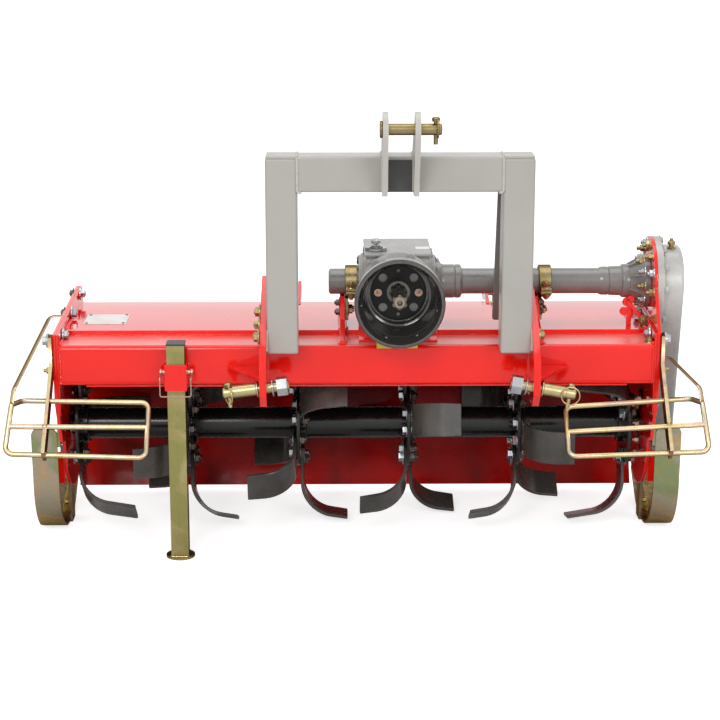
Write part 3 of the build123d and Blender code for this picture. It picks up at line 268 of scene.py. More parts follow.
def edge_wear_highlight_group():
    """Mask of the edges, where paint is worn thin and where a painted highlight lies."""
    group, given, result = new_group(
        "Edge rub", [("Width", NUMBER, 0.002), ("Breakup", NUMBER, 120.0)], [("Mask", NUMBER)],
    )
    place = place_on(group)
    rounded = add(group, "ShaderNodeBevel", {"Radius": given["Width"]}, samples=4).outputs["Normal"]
    flat = add(group, "ShaderNodeNewGeometry").outputs["Normal"]
    facing = vector_step(group, "DOT_PRODUCT", rounded, flat).outputs["Value"]
    edge = remap(group, facing, 0.995, 0.88)
    patches = remap(group, noise(group, place, given["Breakup"], 3.0), 0.38, 0.62)
    group.links.new(combine(group, edge, patches), result["Mask"])
    return group


def corner_shade_group():
    """Mask of the corners, where painted shade gathers, broken into patches."""
    group, given, result = new_group(
        "Corner dust", [("Reach", NUMBER, 0.03), ("Breakup", NUMBER, 40.0)], [("Mask", NUMBER)],
    )
    place = place_on(group)
    open_air = add(group, "ShaderNodeAmbientOcclusion", {"Distance": given["Reach"]}, samples=6).outputs["AO"]
    corner = remap(group, open_air, 0.85, 0.25)
    patches = remap(group, noise(group, place, given["Breakup"], 3.0), 0.3, 0.65, 0.35, 1.0)
    group.links.new(combine(group, corner, patches), result["Mask"])
    return group


def paint_film_group():
    """Sprayed paint: soft patches of thicker paint and the fine ripple of the film."""
    group, given, result = new_group(
        "Paint film",
        [
            ("Colour", TINT, (0.8, 0.8, 0.8, 1)),
            ("Thick Colour", TINT, (0.6, 0.6, 0.6, 1)),
            ("Patch Scale", NUMBER, 5.0),
            ("Ripple Scale", NUMBER, 260.0),
            ("Ripple Height", NUMBER, 0.0001),
            ("Smooth", NUMBER, 0.15),
            ("Rough", NUMBER, 0.3),
        ],
        [("Colour", TINT), ("Roughness", NUMBER), ("Normal", VECTOR)],
    )
    place = place_on(group)
    patch = noise(group, place, given["Patch Scale"], 4.0, 0.4)
    group.links.new(
        blend_colour(
            group, remap(group, patch, 0.42, 0.72, 0.0, 0.75), given["Colour"], given["Thick Colour"],
        ),
        result["Colour"],
    )
    haze = noise(group, place, combine(group, given["Patch Scale"], 6.0), 3.0)
    group.links.new(remap(group, haze, 0.35, 0.7, given["Smooth"], given["Rough"]), result["Roughness"])
    ripple = noise(group, place, given["Ripple Scale"], 2.0)
    group.links.new(bump(group, ripple, 0.35, given["Ripple Height"]), result["Normal"])
    return group


def zinc_film_group():
    """Yellow zinc: gold that drifts to green, rose and blue in soft clouds."""
    group, given, result = new_group(
        "Zinc film",
        [
            ("Colour", TINT, (0.55, 0.43, 0.2, 1)), ("Cloud Scale", NUMBER, 7.0), ("Play", NUMBER, 0.7),
            ("Lift", NUMBER, 0.0),
        ],
        [("Colour", TINT), ("Roughness", NUMBER), ("Normal", VECTOR)],
    )
    place = place_on(group)
    cloud = noise(group, place, given["Cloud Scale"], 3.0, 1.2)
    ramp = add(group, "ShaderNodeValToRGB", {"Fac": combine(group, cloud, given["Lift"], "ADD")})
    stops = (
        (0.30, (0.42, 0.42, 0.17, 1)),
        (0.40, (0.62, 0.50, 0.24, 1)),
        (0.50, (0.74, 0.64, 0.38, 1)),
        (0.58, (0.70, 0.47, 0.34, 1)),
        (0.66, (0.52, 0.50, 0.44, 1)),
        (0.76, (0.30, 0.42, 0.24, 1)),
    )
    marks = ramp.color_ramp.elements
    for mark, stop in ((marks[0], stops[0]), (marks[1], stops[-1])):
        mark.position, mark.color = stop
    for position, shade in stops[1:-1]:
        marks.new(position).color = shade
    tinted = blend_colour(group, given["Play"], given["Colour"], ramp.outputs["Color"])
    fine = noise(group, place, 90.0, 4.0)
    group.links.new(
        blend_colour(group, remap(group, fine, 0.45, 0.8, 0.0, 0.5), tinted, given["Colour"]),
        result["Colour"],
    )
    group.links.new(remap(group, fine, 0.3, 0.7, 0.22, 0.42), result["Roughness"])
    group.links.new(bump(group, noise(group, place, 700.0, 2.0), 0.25, 0.0002), result["Normal"])
    return group


def cast_skin_group():
    """The skin of a sand casting under paint: lumps and fine grit."""
    group, given, result = new_group(
        "Cast skin", [("Lump", NUMBER, 0.0008), ("Grit", NUMBER, 0.0003)],
        [("Normal", VECTOR), ("Mask", NUMBER)],
    )
    place = place_on(group)
    lumps = noise(group, place, 45.0, 3.0)
    grit = noise(group, place, 420.0, 4.0)
    lumpy = bump(group, lumps, 0.5, given["Lump"])
    group.links.new(bump(group, grit, 0.5, given["Grit"], Normal=lumpy), result["Normal"])
    group.links.new(grit, result["Mask"])
    return group


def turned_marks_group():
    """Fine tool marks round a turned or rolled surface."""
    group, given, result = new_group(
        "Turned marks", [("Stretch", VECTOR, (1.0, 1.0, 1.0)), ("Depth", NUMBER, 0.0001)],
        [("Normal", VECTOR), ("Mask", NUMBER)],
    )
    place = place_on(group)
    drawn = vector_step(group, "MULTIPLY", place, given["Stretch"]).outputs["Vector"]
    marks = noise(group, drawn, 60.0, 3.0)
    group.links.new(bump(group, marks, 0.4, given["Depth"]), result["Normal"])
    group.links.new(marks, result["Mask"])
    return group


GROUPS = {}


def shared(tree, maker, **inputs):
    """Places a shader group in a material, building it the first time."""
    if maker.__name__ not in GROUPS:
        GROUPS[maker.__name__] = maker()
    node = tree.nodes.new("ShaderNodeGroup")
    node.node_tree = GROUPS[maker.__name__]
    for key, value in inputs.items():
        feed(tree, node.inputs[key.replace("_", " ")], value)
    return node.outputs


# ---------------------------------------------------------------------------
# Finishes
# ---------------------------------------------------------------------------
def surface(name, **constants):
    """A new material with its Principled shader's plain numbers set, and its node tree."""
    material = bpy.data.materials.new(name)
    material.use_nodes = True
    shader = material.node_tree.nodes["Principled BSDF"]
    for key, value in constants.items():
        shader.inputs[key.replace("_", " ")].default_value = value
    return material, material.node_tree


def covered(material, shade, roughness, normal):
    """Links a finish's colour, roughness and normal to its Principled shader."""
    tree = material.node_tree
    shader = tree.nodes["Principled BSDF"]
    for key, socket in (("Base Color", shade), ("Roughness", roughness), ("Normal", normal)):
        tree.links.new(socket, shader.inputs[key])
    return material


def edge_worn_highlit(tree, shade, share, bare, **given):
    """A colour with its edges rubbed through to a barer, lighter one that is also a painted highlight."""
    edges = shared(tree, edge_wear_highlight_group, **given)["Mask"]
    return blend_colour(tree, combine(tree, edges, share), shade, bare)


def shaded_in_corners(tree, shade, share, dust, **given):
    """A colour with painted shade gathered in its corners."""
    corners = shared(tree, corner_shade_group, **given)["Mask"]
    return blend_colour(tree, combine(tree, corners, share), shade, dust)


def darker(tint, share):
    """A colour brought down to a share of itself."""
    return tuple(value * share for value in tint[:3]) + (1.0,)


def blend(first, second, share):
    """A colour part of the way from one to another."""
    return tuple(a + (b - a) * share for a, b in zip(first, second))


def tint_of(tints, tint):
    """A colour given by the name of its setting or in steps of 255."""
    return getattr(tints, tint) if isinstance(tint, str) else linear(*tint)


def sprayed(name, base, thick, rub, patch, ripple, smooth, rough, **constants):
    """A sprayed paint with worn edges that carry a painted highlight, and painted shade in its corners."""
    material, tree = surface(name, **constants)
    film = shared(
        tree, paint_film_group,
        Colour=base, Thick_Colour=thick, Patch_Scale=patch, Ripple_Height=ripple, Smooth=smooth, Rough=rough,
    )
    # Painted shade in the corners, in the thick colour.
    painted_light = shaded_in_corners(tree, film["Colour"], 0.45, thick)
    return covered(material, edge_worn_highlit(tree, painted_light, 0.5, rub), film["Roughness"], film["Normal"])


def red_paint(tints):
    """Gloss red paint."""
    return sprayed(
        "Red gloss paint", tints.red, tints.red_shade, linear(249, 74, 62), 4.0, 0.00012, 0.06, 0.16,
        IOR=1.33, Coat_Weight=1.0, Coat_Roughness=0.06, Coat_IOR=1.33,
    )


def dusty_red(tints):
    """The red paint of the beam's top, duller and paled pink as a painted reflection of the sky."""
    painted_light = blend(tints.red, linear(246, 170, 160), 0.62)
    return sprayed(
        "Dusty red paint", painted_light, tints.red, linear(249, 110, 98), 3.0, 0.00012, 0.3, 0.5,
        IOR=1.4, Coat_Weight=1.0, Coat_Roughness=0.3, Coat_IOR=1.4,
    )


def hoop_paint(tints, name="Hoop grey paint", share=1.0):
    """Grey paint of the hoop, or a darker share of it as painted shade, or a paler share as painted light."""
    tint = darker(tints.hoop, share)
    return sprayed(
        name, tint, darker(tint, 0.86), blend(tint, linear(226, 224, 219), 0.5), 5.0, 0.00012, 0.28, 0.42,
        IOR=1.4, Coat_Weight=0.3, Coat_Roughness=0.2,
    )


def tube_paint(tints):
    """Darker grey paint of the axle tube."""
    return sprayed(
        "Axle grey paint", tints.tube, darker(tints.tube, 0.72), linear(170, 168, 163), 9.0, 0.0002, 0.2,
        0.36, IOR=1.5, Coat_Weight=0.6, Coat_Roughness=0.12,
    )


def shaded_inside_paint(tints):
    """The same red on the hood's inner side as painted shade under the hood, darker towards the top."""
    material, tree = surface(
        "Red paint inside", IOR=1.18, Coat_Weight=0.15, Coat_Roughness=0.16, Coat_IOR=1.3
    )
    # Lighter low down and darker towards the top: painted light and shade under the hood.
    lit = darker(tints.red_shade, 0.72)
    shade = blend_colour(tree, remap(tree, height_on(tree), 0.22, 0.42), lit, tints.inside)
    film = shared(
        tree, paint_film_group,
        Colour=shade, Thick_Colour=tints.inside, Patch_Scale=7.0, Smooth=0.16, Rough=0.34,
    )
    return covered(material, film["Colour"], film["Roughness"], film["Normal"])


def case_paint(tints):
    """Silver grey paint of the side gear case, darker towards the bottom as painted shade."""
    material, tree = surface("Side housing grey paint", IOR=1.45, Coat_Weight=0.4, Coat_Roughness=0.15)
    # Painted shade: darker towards the bottom.
    low = remap(tree, height_on(tree), 0.62, 0.46)
    shade = blend_colour(tree, low, tints.case, darker(tints.case, 0.42))
    film = shared(
        tree, paint_film_group,
        Colour=shade, Thick_Colour=darker(tints.case, 0.5), Patch_Scale=8.0, Ripple_Height=0.0003,
        Smooth=0.22, Rough=0.4,
    )
    rub = edge_worn_highlit(tree, film["Colour"], 0.5, linear(226, 225, 221))
    return covered(material, rub, film["Roughness"], film["Normal"])


def rotor_paint(tints):
    """Satin black paint, paler out on the blades as a painted sheen."""
    material, tree = surface(
        "Rotor black paint", IOR=1.38, Coat_Weight=0.5, Coat_Roughness=0.12, Coat_IOR=1.4,
    )
    # Painted sheen: paler with distance from the rotor's axis, out on the blades.
    arm = vector_step(tree, "SUBTRACT", place_on(tree), ROTOR * MM).outputs["Vector"]
    arm = vector_step(tree, "MULTIPLY", arm, (0, 1, 1)).outputs["Vector"]
    away = vector_step(tree, "LENGTH", arm).outputs["Value"]
    shade = blend_colour(tree, remap(tree, away, 0.10, 0.16), tints.rotor, tints.blade)
    film = shared(
        tree, paint_film_group, Colour=shade, Thick_Colour=tints.rotor, Patch_Scale=9.0,
        Ripple_Height=0.00005, Smooth=0.2, Rough=0.32,
    )
    # Worn edges, paler as a painted highlight.
    rub = edge_worn_highlit(tree, film["Colour"], 0.4, linear(96, 92, 86), Breakup=60.0)
    return covered(material, rub, film["Roughness"], film["Normal"])


def gearbox_paint(tints):
    """Painted sand casting."""
    material, tree = surface("Gearbox cast paint", IOR=1.45, Coat_Weight=0.25, Coat_Roughness=0.25)
    grey = tints.gearbox
    film = shared(
        tree, paint_film_group,
        Colour=grey, Thick_Colour=darker(grey, 0.72), Patch_Scale=11.0, Smooth=0.34, Rough=0.5,
    )
    skin = shared(tree, cast_skin_group)
    specks = remap(tree, skin["Mask"], 0.55, 0.75, 0.0, 0.35)
    speckled = blend_colour(tree, specks, film["Colour"], darker(grey, 0.5))
    # Painted shade in the casting's corners.
    painted_light = shaded_in_corners(tree, speckled, 0.6, darker(grey, 0.35))
    return covered(material, painted_light, film["Roughness"], skin["Normal"])


def guard_plastic(tints, name="Guard black", share=1.0, gloss=1.0):
    """Moulded black guard with worn edges that carry a painted highlight, or a darker share of it as painted
    shade.
    """
    material, tree = surface(name, IOR=1.3, Coat_Weight=gloss, Coat_Roughness=0.09, Coat_IOR=1.7)
    tint = darker(tints.guard, share)
    film = shared(
        tree, paint_film_group,
        Colour=tint, Thick_Colour=darker(tint, 0.7), Patch_Scale=7.0, Smooth=0.16, Rough=0.28,
    )
    rub = edge_worn_highlit(tree, film["Colour"], 0.6, linear(120, 118, 114), Width=0.003)
    return covered(material, rub, film["Roughness"], film["Normal"])


def zinc_plating(tints, name, tint, play, lift, scale=7.0, rim=0.35, shade=1.0, rise=None):
    """Yellow zinc on steel: its play of colour, painted shade at its rim where the surface turns from view,
    and how its clouds drift with height.
    """
    material, tree = surface(
        name, Metallic=0.9, Specular_IOR_Level=0.5, Specular_Tint=linear(190, 160, 130)
    )
    if rise:
        lift = remap(tree, height_on(tree), *rise)
    film = shared(
        tree, zinc_film_group, Colour=tint_of(tints, tint), Cloud_Scale=scale, Play=play, Lift=lift
    )
    # Painted shade: darker where the surface turns away from view.
    facing = add(tree, "ShaderNodeLayerWeight", {"Blend": 0.5}).outputs["Facing"]
    dark = linear(104, 80, 50)
    toned = blend_colour(tree, 1.0, film["Colour"], (shade, shade, shade, 1.0), "MULTIPLY")
    rim_shaded = blend_colour(tree, remap(tree, facing, 0.14, 0.6, 0.0, rim), toned, dark)
    # Painted shade in the corners, in the dark colour.
    painted_light = shaded_in_corners(tree, rim_shaded, 0.5, dark, Reach=0.012)
    return covered(material, painted_light, film["Roughness"], film["Normal"])


def plain_metal(tints, name, tint, smooth, rough, stretch=(1.0, 1.0, 1.0)):
    """Bare or white plated metal with faint marks."""
    material, tree = surface(name, Metallic=0.95)
    tint = tint_of(tints, tint)
    marks = shared(tree, turned_marks_group, Stretch=stretch)
    toned = blend_colour(tree, remap(tree, marks["Mask"], 0.4, 0.75, 0.0, 0.6), tint, darker(tint, 0.6))
    # Painted shade in the corners.
    painted_light = shaded_in_corners(tree, toned, 0.7, darker(tint, 0.18), Reach=0.006)
    return covered(material, painted_light, remap(tree, marks["Mask"], 0.3, 0.7, smooth, rough), marks["Normal"])


def soft_plastic(tints, name, tint, rough):
    """Dull plastic or painted sheet with a faint grain."""
    material, tree = surface(name, IOR=1.45)
    tint = tint_of(tints, tint)
    film = shared(
        tree, paint_film_group,
        Colour=tint, Thick_Colour=darker(tint, 0.8), Patch_Scale=30.0, Ripple_Scale=900.0,
        Smooth=rough, Rough=rough + 0.15,
    )
    return covered(material, film["Colour"], film["Roughness"], film["Normal"])


# Each finish: the record's slot, the maker of its material, and what the maker is told
FINISHES = {
    "red": ("red_paint", red_paint), "dusty red": ("red_paint", dusty_red),
    "inside": ("red_paint", shaded_inside_paint), "hoop": ("hoop_grey", hoop_paint),
    # Lit and shaded copies of the hoop paint: painted light on the clevis and welds, painted shade on the
    # stays.
    "lit hoop": ("hoop_grey", hoop_paint, "Clevis paint", 1.22),
    "shaded hoop": ("hoop_grey", hoop_paint, "Stay paint", 0.42), "casting": ("cast_grey", gearbox_paint),
    "tube": ("cast_grey", tube_paint), "case": ("case_grey", case_paint),
    "rotor": ("black_paint", rotor_paint), "guard": ("guard_black", guard_plastic),
    # The guard's deep floor is a darker, unglossed copy: painted shade.
    "dark guard": ("guard_black", guard_plastic, "Guard floor", 0.2, 0.0),
    "cap": ("guard_black", soft_plastic, "Cap plastic", (70, 69, 67), 0.4),
    "strip": ("yellow_zinc", soft_plastic, "Yellow strip", (196, 190, 70), 0.4),
    "sign": ("bright_steel", soft_plastic, "Sign plate", "sign", 0.32),
    "zinc": ("yellow_zinc", zinc_plating, "Yellow zinc", "zinc", 0.45, -0.04, 9.0, 0.55),
    "strap zinc": ("yellow_zinc", zinc_plating, "Brown zinc", (168, 148, 98), 0.4, 0.0, 12.0, 0.5, 0.62),
    "rail zinc": (
        "yellow_zinc", zinc_plating, "Pale yellow zinc", (218, 190, 146), 0.7, 0.05, 9.0, 0.85, 0.95,
    ),
    "skid zinc": (
        "yellow_zinc", zinc_plating, "Rainbow zinc", (196, 170, 84), 0.8, 0.0, 7.0, 0.3, 0.76,
        (0.02, 0.27, 0.08, 0.27),
    ),
    "skid inside": ("yellow_zinc", zinc_plating, "Shaded zinc", (120, 92, 56), 0.3, 0.0, 9.0, 0.5, 0.35),
    "tab zinc": ("yellow_zinc", zinc_plating, "Bright yellow zinc", (232, 198, 92), 0.15, 0.0),
    "leg zinc": ("yellow_zinc", zinc_plating, "Olive zinc", (166, 158, 92), 0.55, -0.1, 9.0, 0.5, 0.8),
    "rose bolt": ("yellow_zinc", plain_metal, "Rose zinc bolts", (196, 166, 148), 0.2, 0.4),
    "gold bolt": ("yellow_zinc", plain_metal, "Gold zinc bolts", (172, 152, 108), 0.2, 0.42),
    "dark bolt": ("black_paint", plain_metal, "Dark bolts", (112, 104, 96), 0.28, 0.5),
    "bright": ("bright_steel", plain_metal, "White zinc", "bright", 0.16, 0.36),
    "shaft": ("bright_steel", plain_metal, "Machined steel", "steel", 0.2, 0.4, (1.0, 8.0, 1.0)),
}
MADE = {}


def finish_of(name):
    """The material of a finish, built the first time it is used."""
    if name not in MADE:
        maker, *told = FINISHES[name][1:]
        MADE[name] = maker(bpy.context.scene.rotavator_finish, *told)
    return MADE[name]


# ---------------------------------------------------------------------------
# Forms
# ---------------------------------------------------------------------------
SHARP = 34.0  # Edges that turn by more degrees than this are sharp


def piece(form, name, finish, body="root", stands_for=()):
    """Turns a form into a piece in metres that rides on its body."""
    bmesh.ops.scale(form, vec=(MM, MM, MM), verts=form.verts)
    mesh = bpy.data.meshes.new(name)
    form.to_mesh(mesh)
    form.free()
    mesh.shade_smooth()
    mesh.set_sharp_from_angle(angle=math.radians(SHARP))
    mesh.materials.append(finish_of(finish))
    item = bpy.data.objects.new(name, mesh)
    bpy.context.scene.collection.objects.link(item)
    weights = item.modifiers.new("Face weights", "WEIGHTED_NORMAL")
    weights.keep_sharp = True
    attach(item, body)
    if stands_for:
        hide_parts(*stands_for)
    return item


def line_inside(item, finish, axis, facing=0.25):
    """Gives the faces turned towards an axis across the machine their own finish."""
    mesh = item.data
    mesh.materials.append(finish_of(finish))
    for face in mesh.polygons:
        inward = axis * MM - face.center
        inward.x = 0.0
        if inward.normalized().dot(face.normal) > facing:
            face.material_index = 1


def outwards(part):
    """Turns a part's faces outwards."""
    bmesh.ops.recalc_face_normals(part, faces=part.faces[:])


def merge(form, part):
    """Adds a finished part to a form, its doubles merged and its faces turned outwards."""
    bmesh.ops.remove_doubles(part, verts=part.verts[:], dist=0.001)
    outwards(part)
    scratch = bpy.data.meshes.new("scratch")
    part.to_mesh(scratch)
    part.free()
    form.from_mesh(scratch)
    bpy.data.meshes.remove(scratch)


def bevelled(part, edges, size, segments):
    """Rounds chosen edges of a part."""
    bmesh.ops.bevel(
        part, geom=edges, offset=size, segments=segments, profile=0.5,
        affect="EDGES", clamp_overlap=True, material=-1,
    )


def soften(part, size, segments=2, limit=SHARP, keep=None):
    """Rounds a part's sharp edges."""
    part.normal_update()
    inner = [e for e in part.edges if len(e.link_faces) == 2]
    edges = [e for e in inner if e.calc_face_angle(0.0) > math.radians(limit) and (not keep or keep(e))]
    bevelled(part, edges, size, segments)


def shift_new(part, made, way):
    """Moves the corners that an operation has just made."""
    corners = [g for g in made["geom"] if isinstance(g, bmesh.types.BMVert)]
    bmesh.ops.translate(part, verts=corners, vec=Vector(way))


def prism(corners, depth):
    """A body: a flat outline pushed out along a vector."""
    part = bmesh.new()
    face = part.faces.new([part.verts.new(Vector(c)) for c in corners])
    shift_new(part, bmesh.ops.extrude_face_region(part, geom=[face]), depth)
    outwards(part)
    return part


def dressed(node, size, segments=2):
    """A merged copy of a frame node in millimetres, with its edges rounded."""
    form = bmesh.new()
    form.from_mesh(frame["nodes"][node].data)
    bmesh.ops.scale(form, vec=(1 / MM, 1 / MM, 1 / MM), verts=form.verts)
    bmesh.ops.remove_doubles(form, verts=form.verts[:], dist=0.005)
    bmesh.ops.dissolve_limit(form, angle_limit=math.radians(0.5), verts=form.verts[:], edges=form.edges[:])
    if size:
        soften(form, size, segments)
    return form


def turned(form, outline, origin, axis, steps=48, closed=False):
    """Spins an outline of (distance along the axis, radius) once round."""
    axis = Vector(axis).normalized()
    side = axis.orthogonal().normalized()
    origin = Vector(origin)
    part = bmesh.new()
    ring = [part.verts.new(origin + axis * along + side * radius) for along, radius in outline]
    pairs = list(zip(ring, ring[1:])) + ([(ring[-1], ring[0])] if closed else [])
    edges = [part.edges.new(pair) for pair in pairs]
    bmesh.ops.spin(
        part, geom=ring + edges, cent=origin, axis=axis, dvec=(0, 0, 0), angle=math.tau, steps=steps,
        use_merge=True,
    )
    merge(form, part)


def disc(form, radius, start, end, origin, axis, edge=0.8, steps=48):
    """A short cylinder along an axis with rounded rims."""
    face = radius - edge
    outline = [(start, 0), (start, face), (start + edge, radius), (end - edge, radius), (end, face), (end, 0)]
    turned(form, outline, origin, axis, steps)


def slab(form, corners, depth, edge=0.8, segments=2):
    """A plate: a flat outline pushed out along a vector, with rounded edges."""
    part = prism(corners, depth)
    soften(part, edge, segments, 20.0)
    merge(form, part)


def block(form, low, high, edge=1.0, segments=2):
    """A box between two corners, with rounded edges."""
    low, high = Vector(low), Vector(high)
    part = bmesh.new()
    place = Matrix.Translation((low + high) / 2) @ Matrix.Diagonal((*(high - low), 1.0))
    bmesh.ops.create_cube(part, size=1.0, matrix=place)
    soften(part, edge, segments)
    merge(form, part)


def folded(points, sweep, wall, bend, outward, segments=6):
    """A folded sheet: a line of points swept along a vector, its bends rounded and its wall set inwards."""
    part = bmesh.new()
    line = [part.verts.new(Vector(p)) for p in points]
    edges = [part.edges.new(pair) for pair in zip(line, line[1:])]
    shift_new(part, bmesh.ops.extrude_edge_only(part, edges=edges), sweep)
    part.normal_update()
    for crease in [e for e in part.edges if len(e.link_faces) == 2]:
        bevelled(part, [crease], bend * math.tan(crease.calc_face_angle(0.0) / 2), segments)
    outwards(part)
    part.faces.ensure_lookup_table()
    if part.faces[0].normal.dot(Vector(outward)) < 0:
        bmesh.ops.reverse_faces(part, faces=part.faces[:])
    bmesh.ops.solidify(part, geom=part.faces[:], thickness=wall)
    return part


def rod(form, points, radius, bend=0.0):
    """A round rod along a line of points, its corners bent to a radius."""
    points = [Vector(p) for p in points]
    stops = [(points[0], None, None)]
    for before, corner, after in zip(points, points[1:], points[2:]):
        into, away = (corner - before).normalized(), (after - corner).normalized()
        turn = into.angle(away)
        reach = bend * math.tan(turn / 2)
        pull = bend * 4 / 3 * math.tan(turn / 4)
        stops.append((corner - into * reach, None, corner - into * (reach - pull)))
        stops.append((corner + away * reach, corner + away * (reach - pull), None))
    stops.append((points[-1], None, None))
    curve = bpy.data.curves.new("rod", "CURVE")
    curve.dimensions, curve.use_fill_caps = "3D", True
    curve.bevel_depth, curve.bevel_resolution, curve.resolution_u = radius, 3, 8
    spline = curve.splines.new("BEZIER")
    spline.bezier_points.add(len(stops) - 1)
    for index, (point, (place, left, right)) in enumerate(zip(spline.bezier_points, stops)):
        before = stops[max(index - 1, 0)][0]
        after = stops[min(index + 1, len(stops) - 1)][0]
        point.co = place
        point.handle_left = left or place + (before - place) * 0.33
        point.handle_right = right or place + (after - place) * 0.33
    item = bpy.data.objects.new("rod", curve)
    mesh = bpy.data.meshes.new_from_object(item)
    part = bmesh.new()
    part.from_mesh(mesh)
    bpy.data.objects.remove(item)
    bpy.data.curves.remove(curve)
    bpy.data.meshes.remove(mesh)
    merge(form, part)


def standing(axis):
    """The turn that brings Z to an axis."""
    return Z.rotation_difference(Vector(axis)).to_matrix().to_4x4()


def coil(form, origin, axis, radius, wire, rise, turns):
    """A coil spring round an axis."""
    axis = Vector(axis).normalized()
    side = axis.orthogonal().normalized()
    origin = Vector(origin)
    part = bmesh.new()
    place = Matrix.Translation(origin + side * radius) @ standing(axis.cross(side))
    made = bmesh.ops.create_circle(part, cap_ends=False, segments=10, radius=wire, matrix=place)
    edges = list({e for v in made["verts"] for e in v.link_edges})
    count = turns * 18
    bmesh.ops.spin(
        part, geom=made["verts"] + edges, cent=origin, axis=axis, dvec=axis * (rise / count),
        angle=math.tau * turns, steps=count,
    )
    bmesh.ops.holes_fill(part, edges=[e for e in part.edges if e.is_boundary], sides=0)
    merge(form, part)


def bead(form, start, end, radius):
    """A weld bead in even ripples along a line."""
    start, end = Vector(start), Vector(end)
    run = (end - start).length
    ripples = max(3, round(run / (radius * 1.3)))
    outline = [(0, 0)]
    for index in range(ripples):
        outline.append(((index + 0.12) * run / ripples, radius * 0.78))
        outline.append(((index + 0.6) * run / ripples, radius * (1.0 + 0.06 * math.sin(index * 2.3))))
    turned(form, outline + [(run, 0)], start, end - start, 8)


def hex_head(flats, height, washer=1.0, stud=0.0):
    """A small mesh of a hex head or nut on its washer, its base at the origin and standing up Z."""
    form = bmesh.new()
    thick = flats * 0.12 * washer
    corner = flats / math.sqrt(3)
    part = bmesh.new()
    bmesh.ops.create_cone(
        part, cap_ends=True, segments=6, radius1=corner, radius2=corner, depth=height,
        matrix=Matrix.Translation((0, 0, thick + height / 2)),
    )
    soften(part, flats * 0.07, 2, 50.0, lambda e: all(v.co.z > thick + height * 0.9 for v in e.verts))
    merge(form, part)
    if washer:
        turned(form, [(0, 0), (0, flats * 0.9), (thick, flats * 0.86), (thick, 0)], (0, 0, 0), Z, 20)
    if stud:
        foot, top = thick + height * 0.8, thick + height + stud
        thread, tip = flats * 0.31, flats * 0.25
        turned(form, [(foot, 0), (foot, thread), (top - 1, thread), (top, tip), (top, 0)], (0, 0, 0), Z, 12)
    mesh = bpy.data.meshes.new("hex head")
    form.to_mesh(mesh)
    form.free()
    return mesh


def set_in(form, mesh, seat, out, roll=0.0):
    """Adds a copy of a small mesh with its base at a seat and its axis turned to a direction."""
    count = len(form.verts)
    form.from_mesh(mesh)
    form.verts.ensure_lookup_table()
    place = Matrix.Translation(Vector(seat)) @ standing(out) @ Matrix.Rotation(roll, 4, "Z")
    bmesh.ops.transform(form, matrix=place, verts=form.verts[count:])


def set_heads(form, seats, flats, height, washer=0.0, stud=0.0, roll=0.0):
    """Sets like hex heads or nuts on a form, each given as a seat and the direction it stands out."""
    head = hex_head(flats, height, washer, stud)
    for index, (seat, out) in enumerate(seats):
        set_in(form, head, seat, out, index * roll)
    bpy.data.meshes.remove(head)


def points_round(origin, axis, radius, turns):
    """Points on a circle about a level axis, at turns in degrees from straight up."""
    return [Vector(origin) + Matrix.Rotation(math.radians(turn), 3, axis) @ (Z * radius) for turn in turns]


def circle_of(origin, axis, radius, turns, out):
    """Seats on a circle about an axis that all stand out one way."""
    return [(point, out) for point in points_round(origin, axis, radius, turns)]


def sizes():
    """The hardware sizes, in millimetres."""
    given = bpy.context.scene.rotavator_hardware
    return {
        key: getattr(given, key) / MM for key in ("edge", "plate_bolt", "flange_bolt", "blade_bolt", "weld")
    }


def bolts(name, finish, seats, flats, height, washer=1.0, stud=0.0, body="root"):
    """One piece of like bolts, each turned a little further than the last."""
    form = bmesh.new()
    set_heads(form, seats, flats, height, washer, stud, 0.37)
    piece(form, name, finish, body)


# ---------------------------------------------------------------------------
# The hood and its frame
# ---------------------------------------------------------------------------
class ROTAVATOR_OT_hood(bpy.types.Operator):
    """Makes the folded beam and the deck with its end and side plates"""

    bl_idname = "rotavator.hood"
    bl_label = "Hood"

    def execute(self, context):
        edge, weld = sizes()["edge"], sizes()["weld"]
        low, high = BEAM_LOW, BEAM_HIGH
        beam = bmesh.new()
        fold = ((high.y, high.z), (low.y, high.z), (low.y, low.z), (low.y + 45, low.z))
        merge(beam, folded([(low.x, y, z) for y, z in fold], (high.x - low.x, 0, 0), 6.0, 11.0, -Y))
        # Edge of the closing strip welded under the beam
        block(beam, (low.x + 60, low.y + 0.5, low.z - 2), (high.x - 60, low.y + 4.5, low.z + 1), 0.5)
        beam = piece(beam, "front_beam_folded", "red", stands_for=("front_beam",))
        # The beam's upward faces take the paler pink: a painted reflection of the sky.
        line_inside(beam, "dusty red", Vector((0, (low.y + high.y) / 2, 5000)), 0.99)
        deck = piece(dressed("deck", 1.0), "deck_sheet", "red", stands_for=("deck",))
        # The deck's faces turned to the rotor take the inside paint: painted shade under the hood.
        line_inside(deck, "inside", ROTOR)
        piece(dressed("end_plates", edge), "hood_end_plates", "red", stands_for=("end_plates",))
        for side in PLATE_X:
            plate = f"side_plate_{side}"
            piece(dressed(plate, edge), f"{plate}_cut", "red", stands_for=(plate,))
        seams = bmesh.new()
        top = DECK_HIGH.z + 0.5
        for x, way in ((low.x, -1), (high.x, 1)):
            x -= way * 2
            bead(seams, (x, low.y - 1, low.z + 4), (x, low.y - 1, high.z - 4), weld)
            bead(seams, (x, low.y + 4, high.z + 1), (x, high.y - 4, high.z + 1), weld)
            bead(seams, (x, high.y + 4, top), (x, high.y + 200, top), weld)
            x += way
            bead(seams, (x, ROTOR.y + 90, low.z - 60), (x, ROTOR.y + 120, low.z + 20), weld)
        bead(seams, (low.x + 10, high.y, high.z + 1), (high.x - 10, high.y, high.z + 1), weld * 0.7)
        piece(seams, "hood_weld_seams", "red")
        return {"FINISHED"}


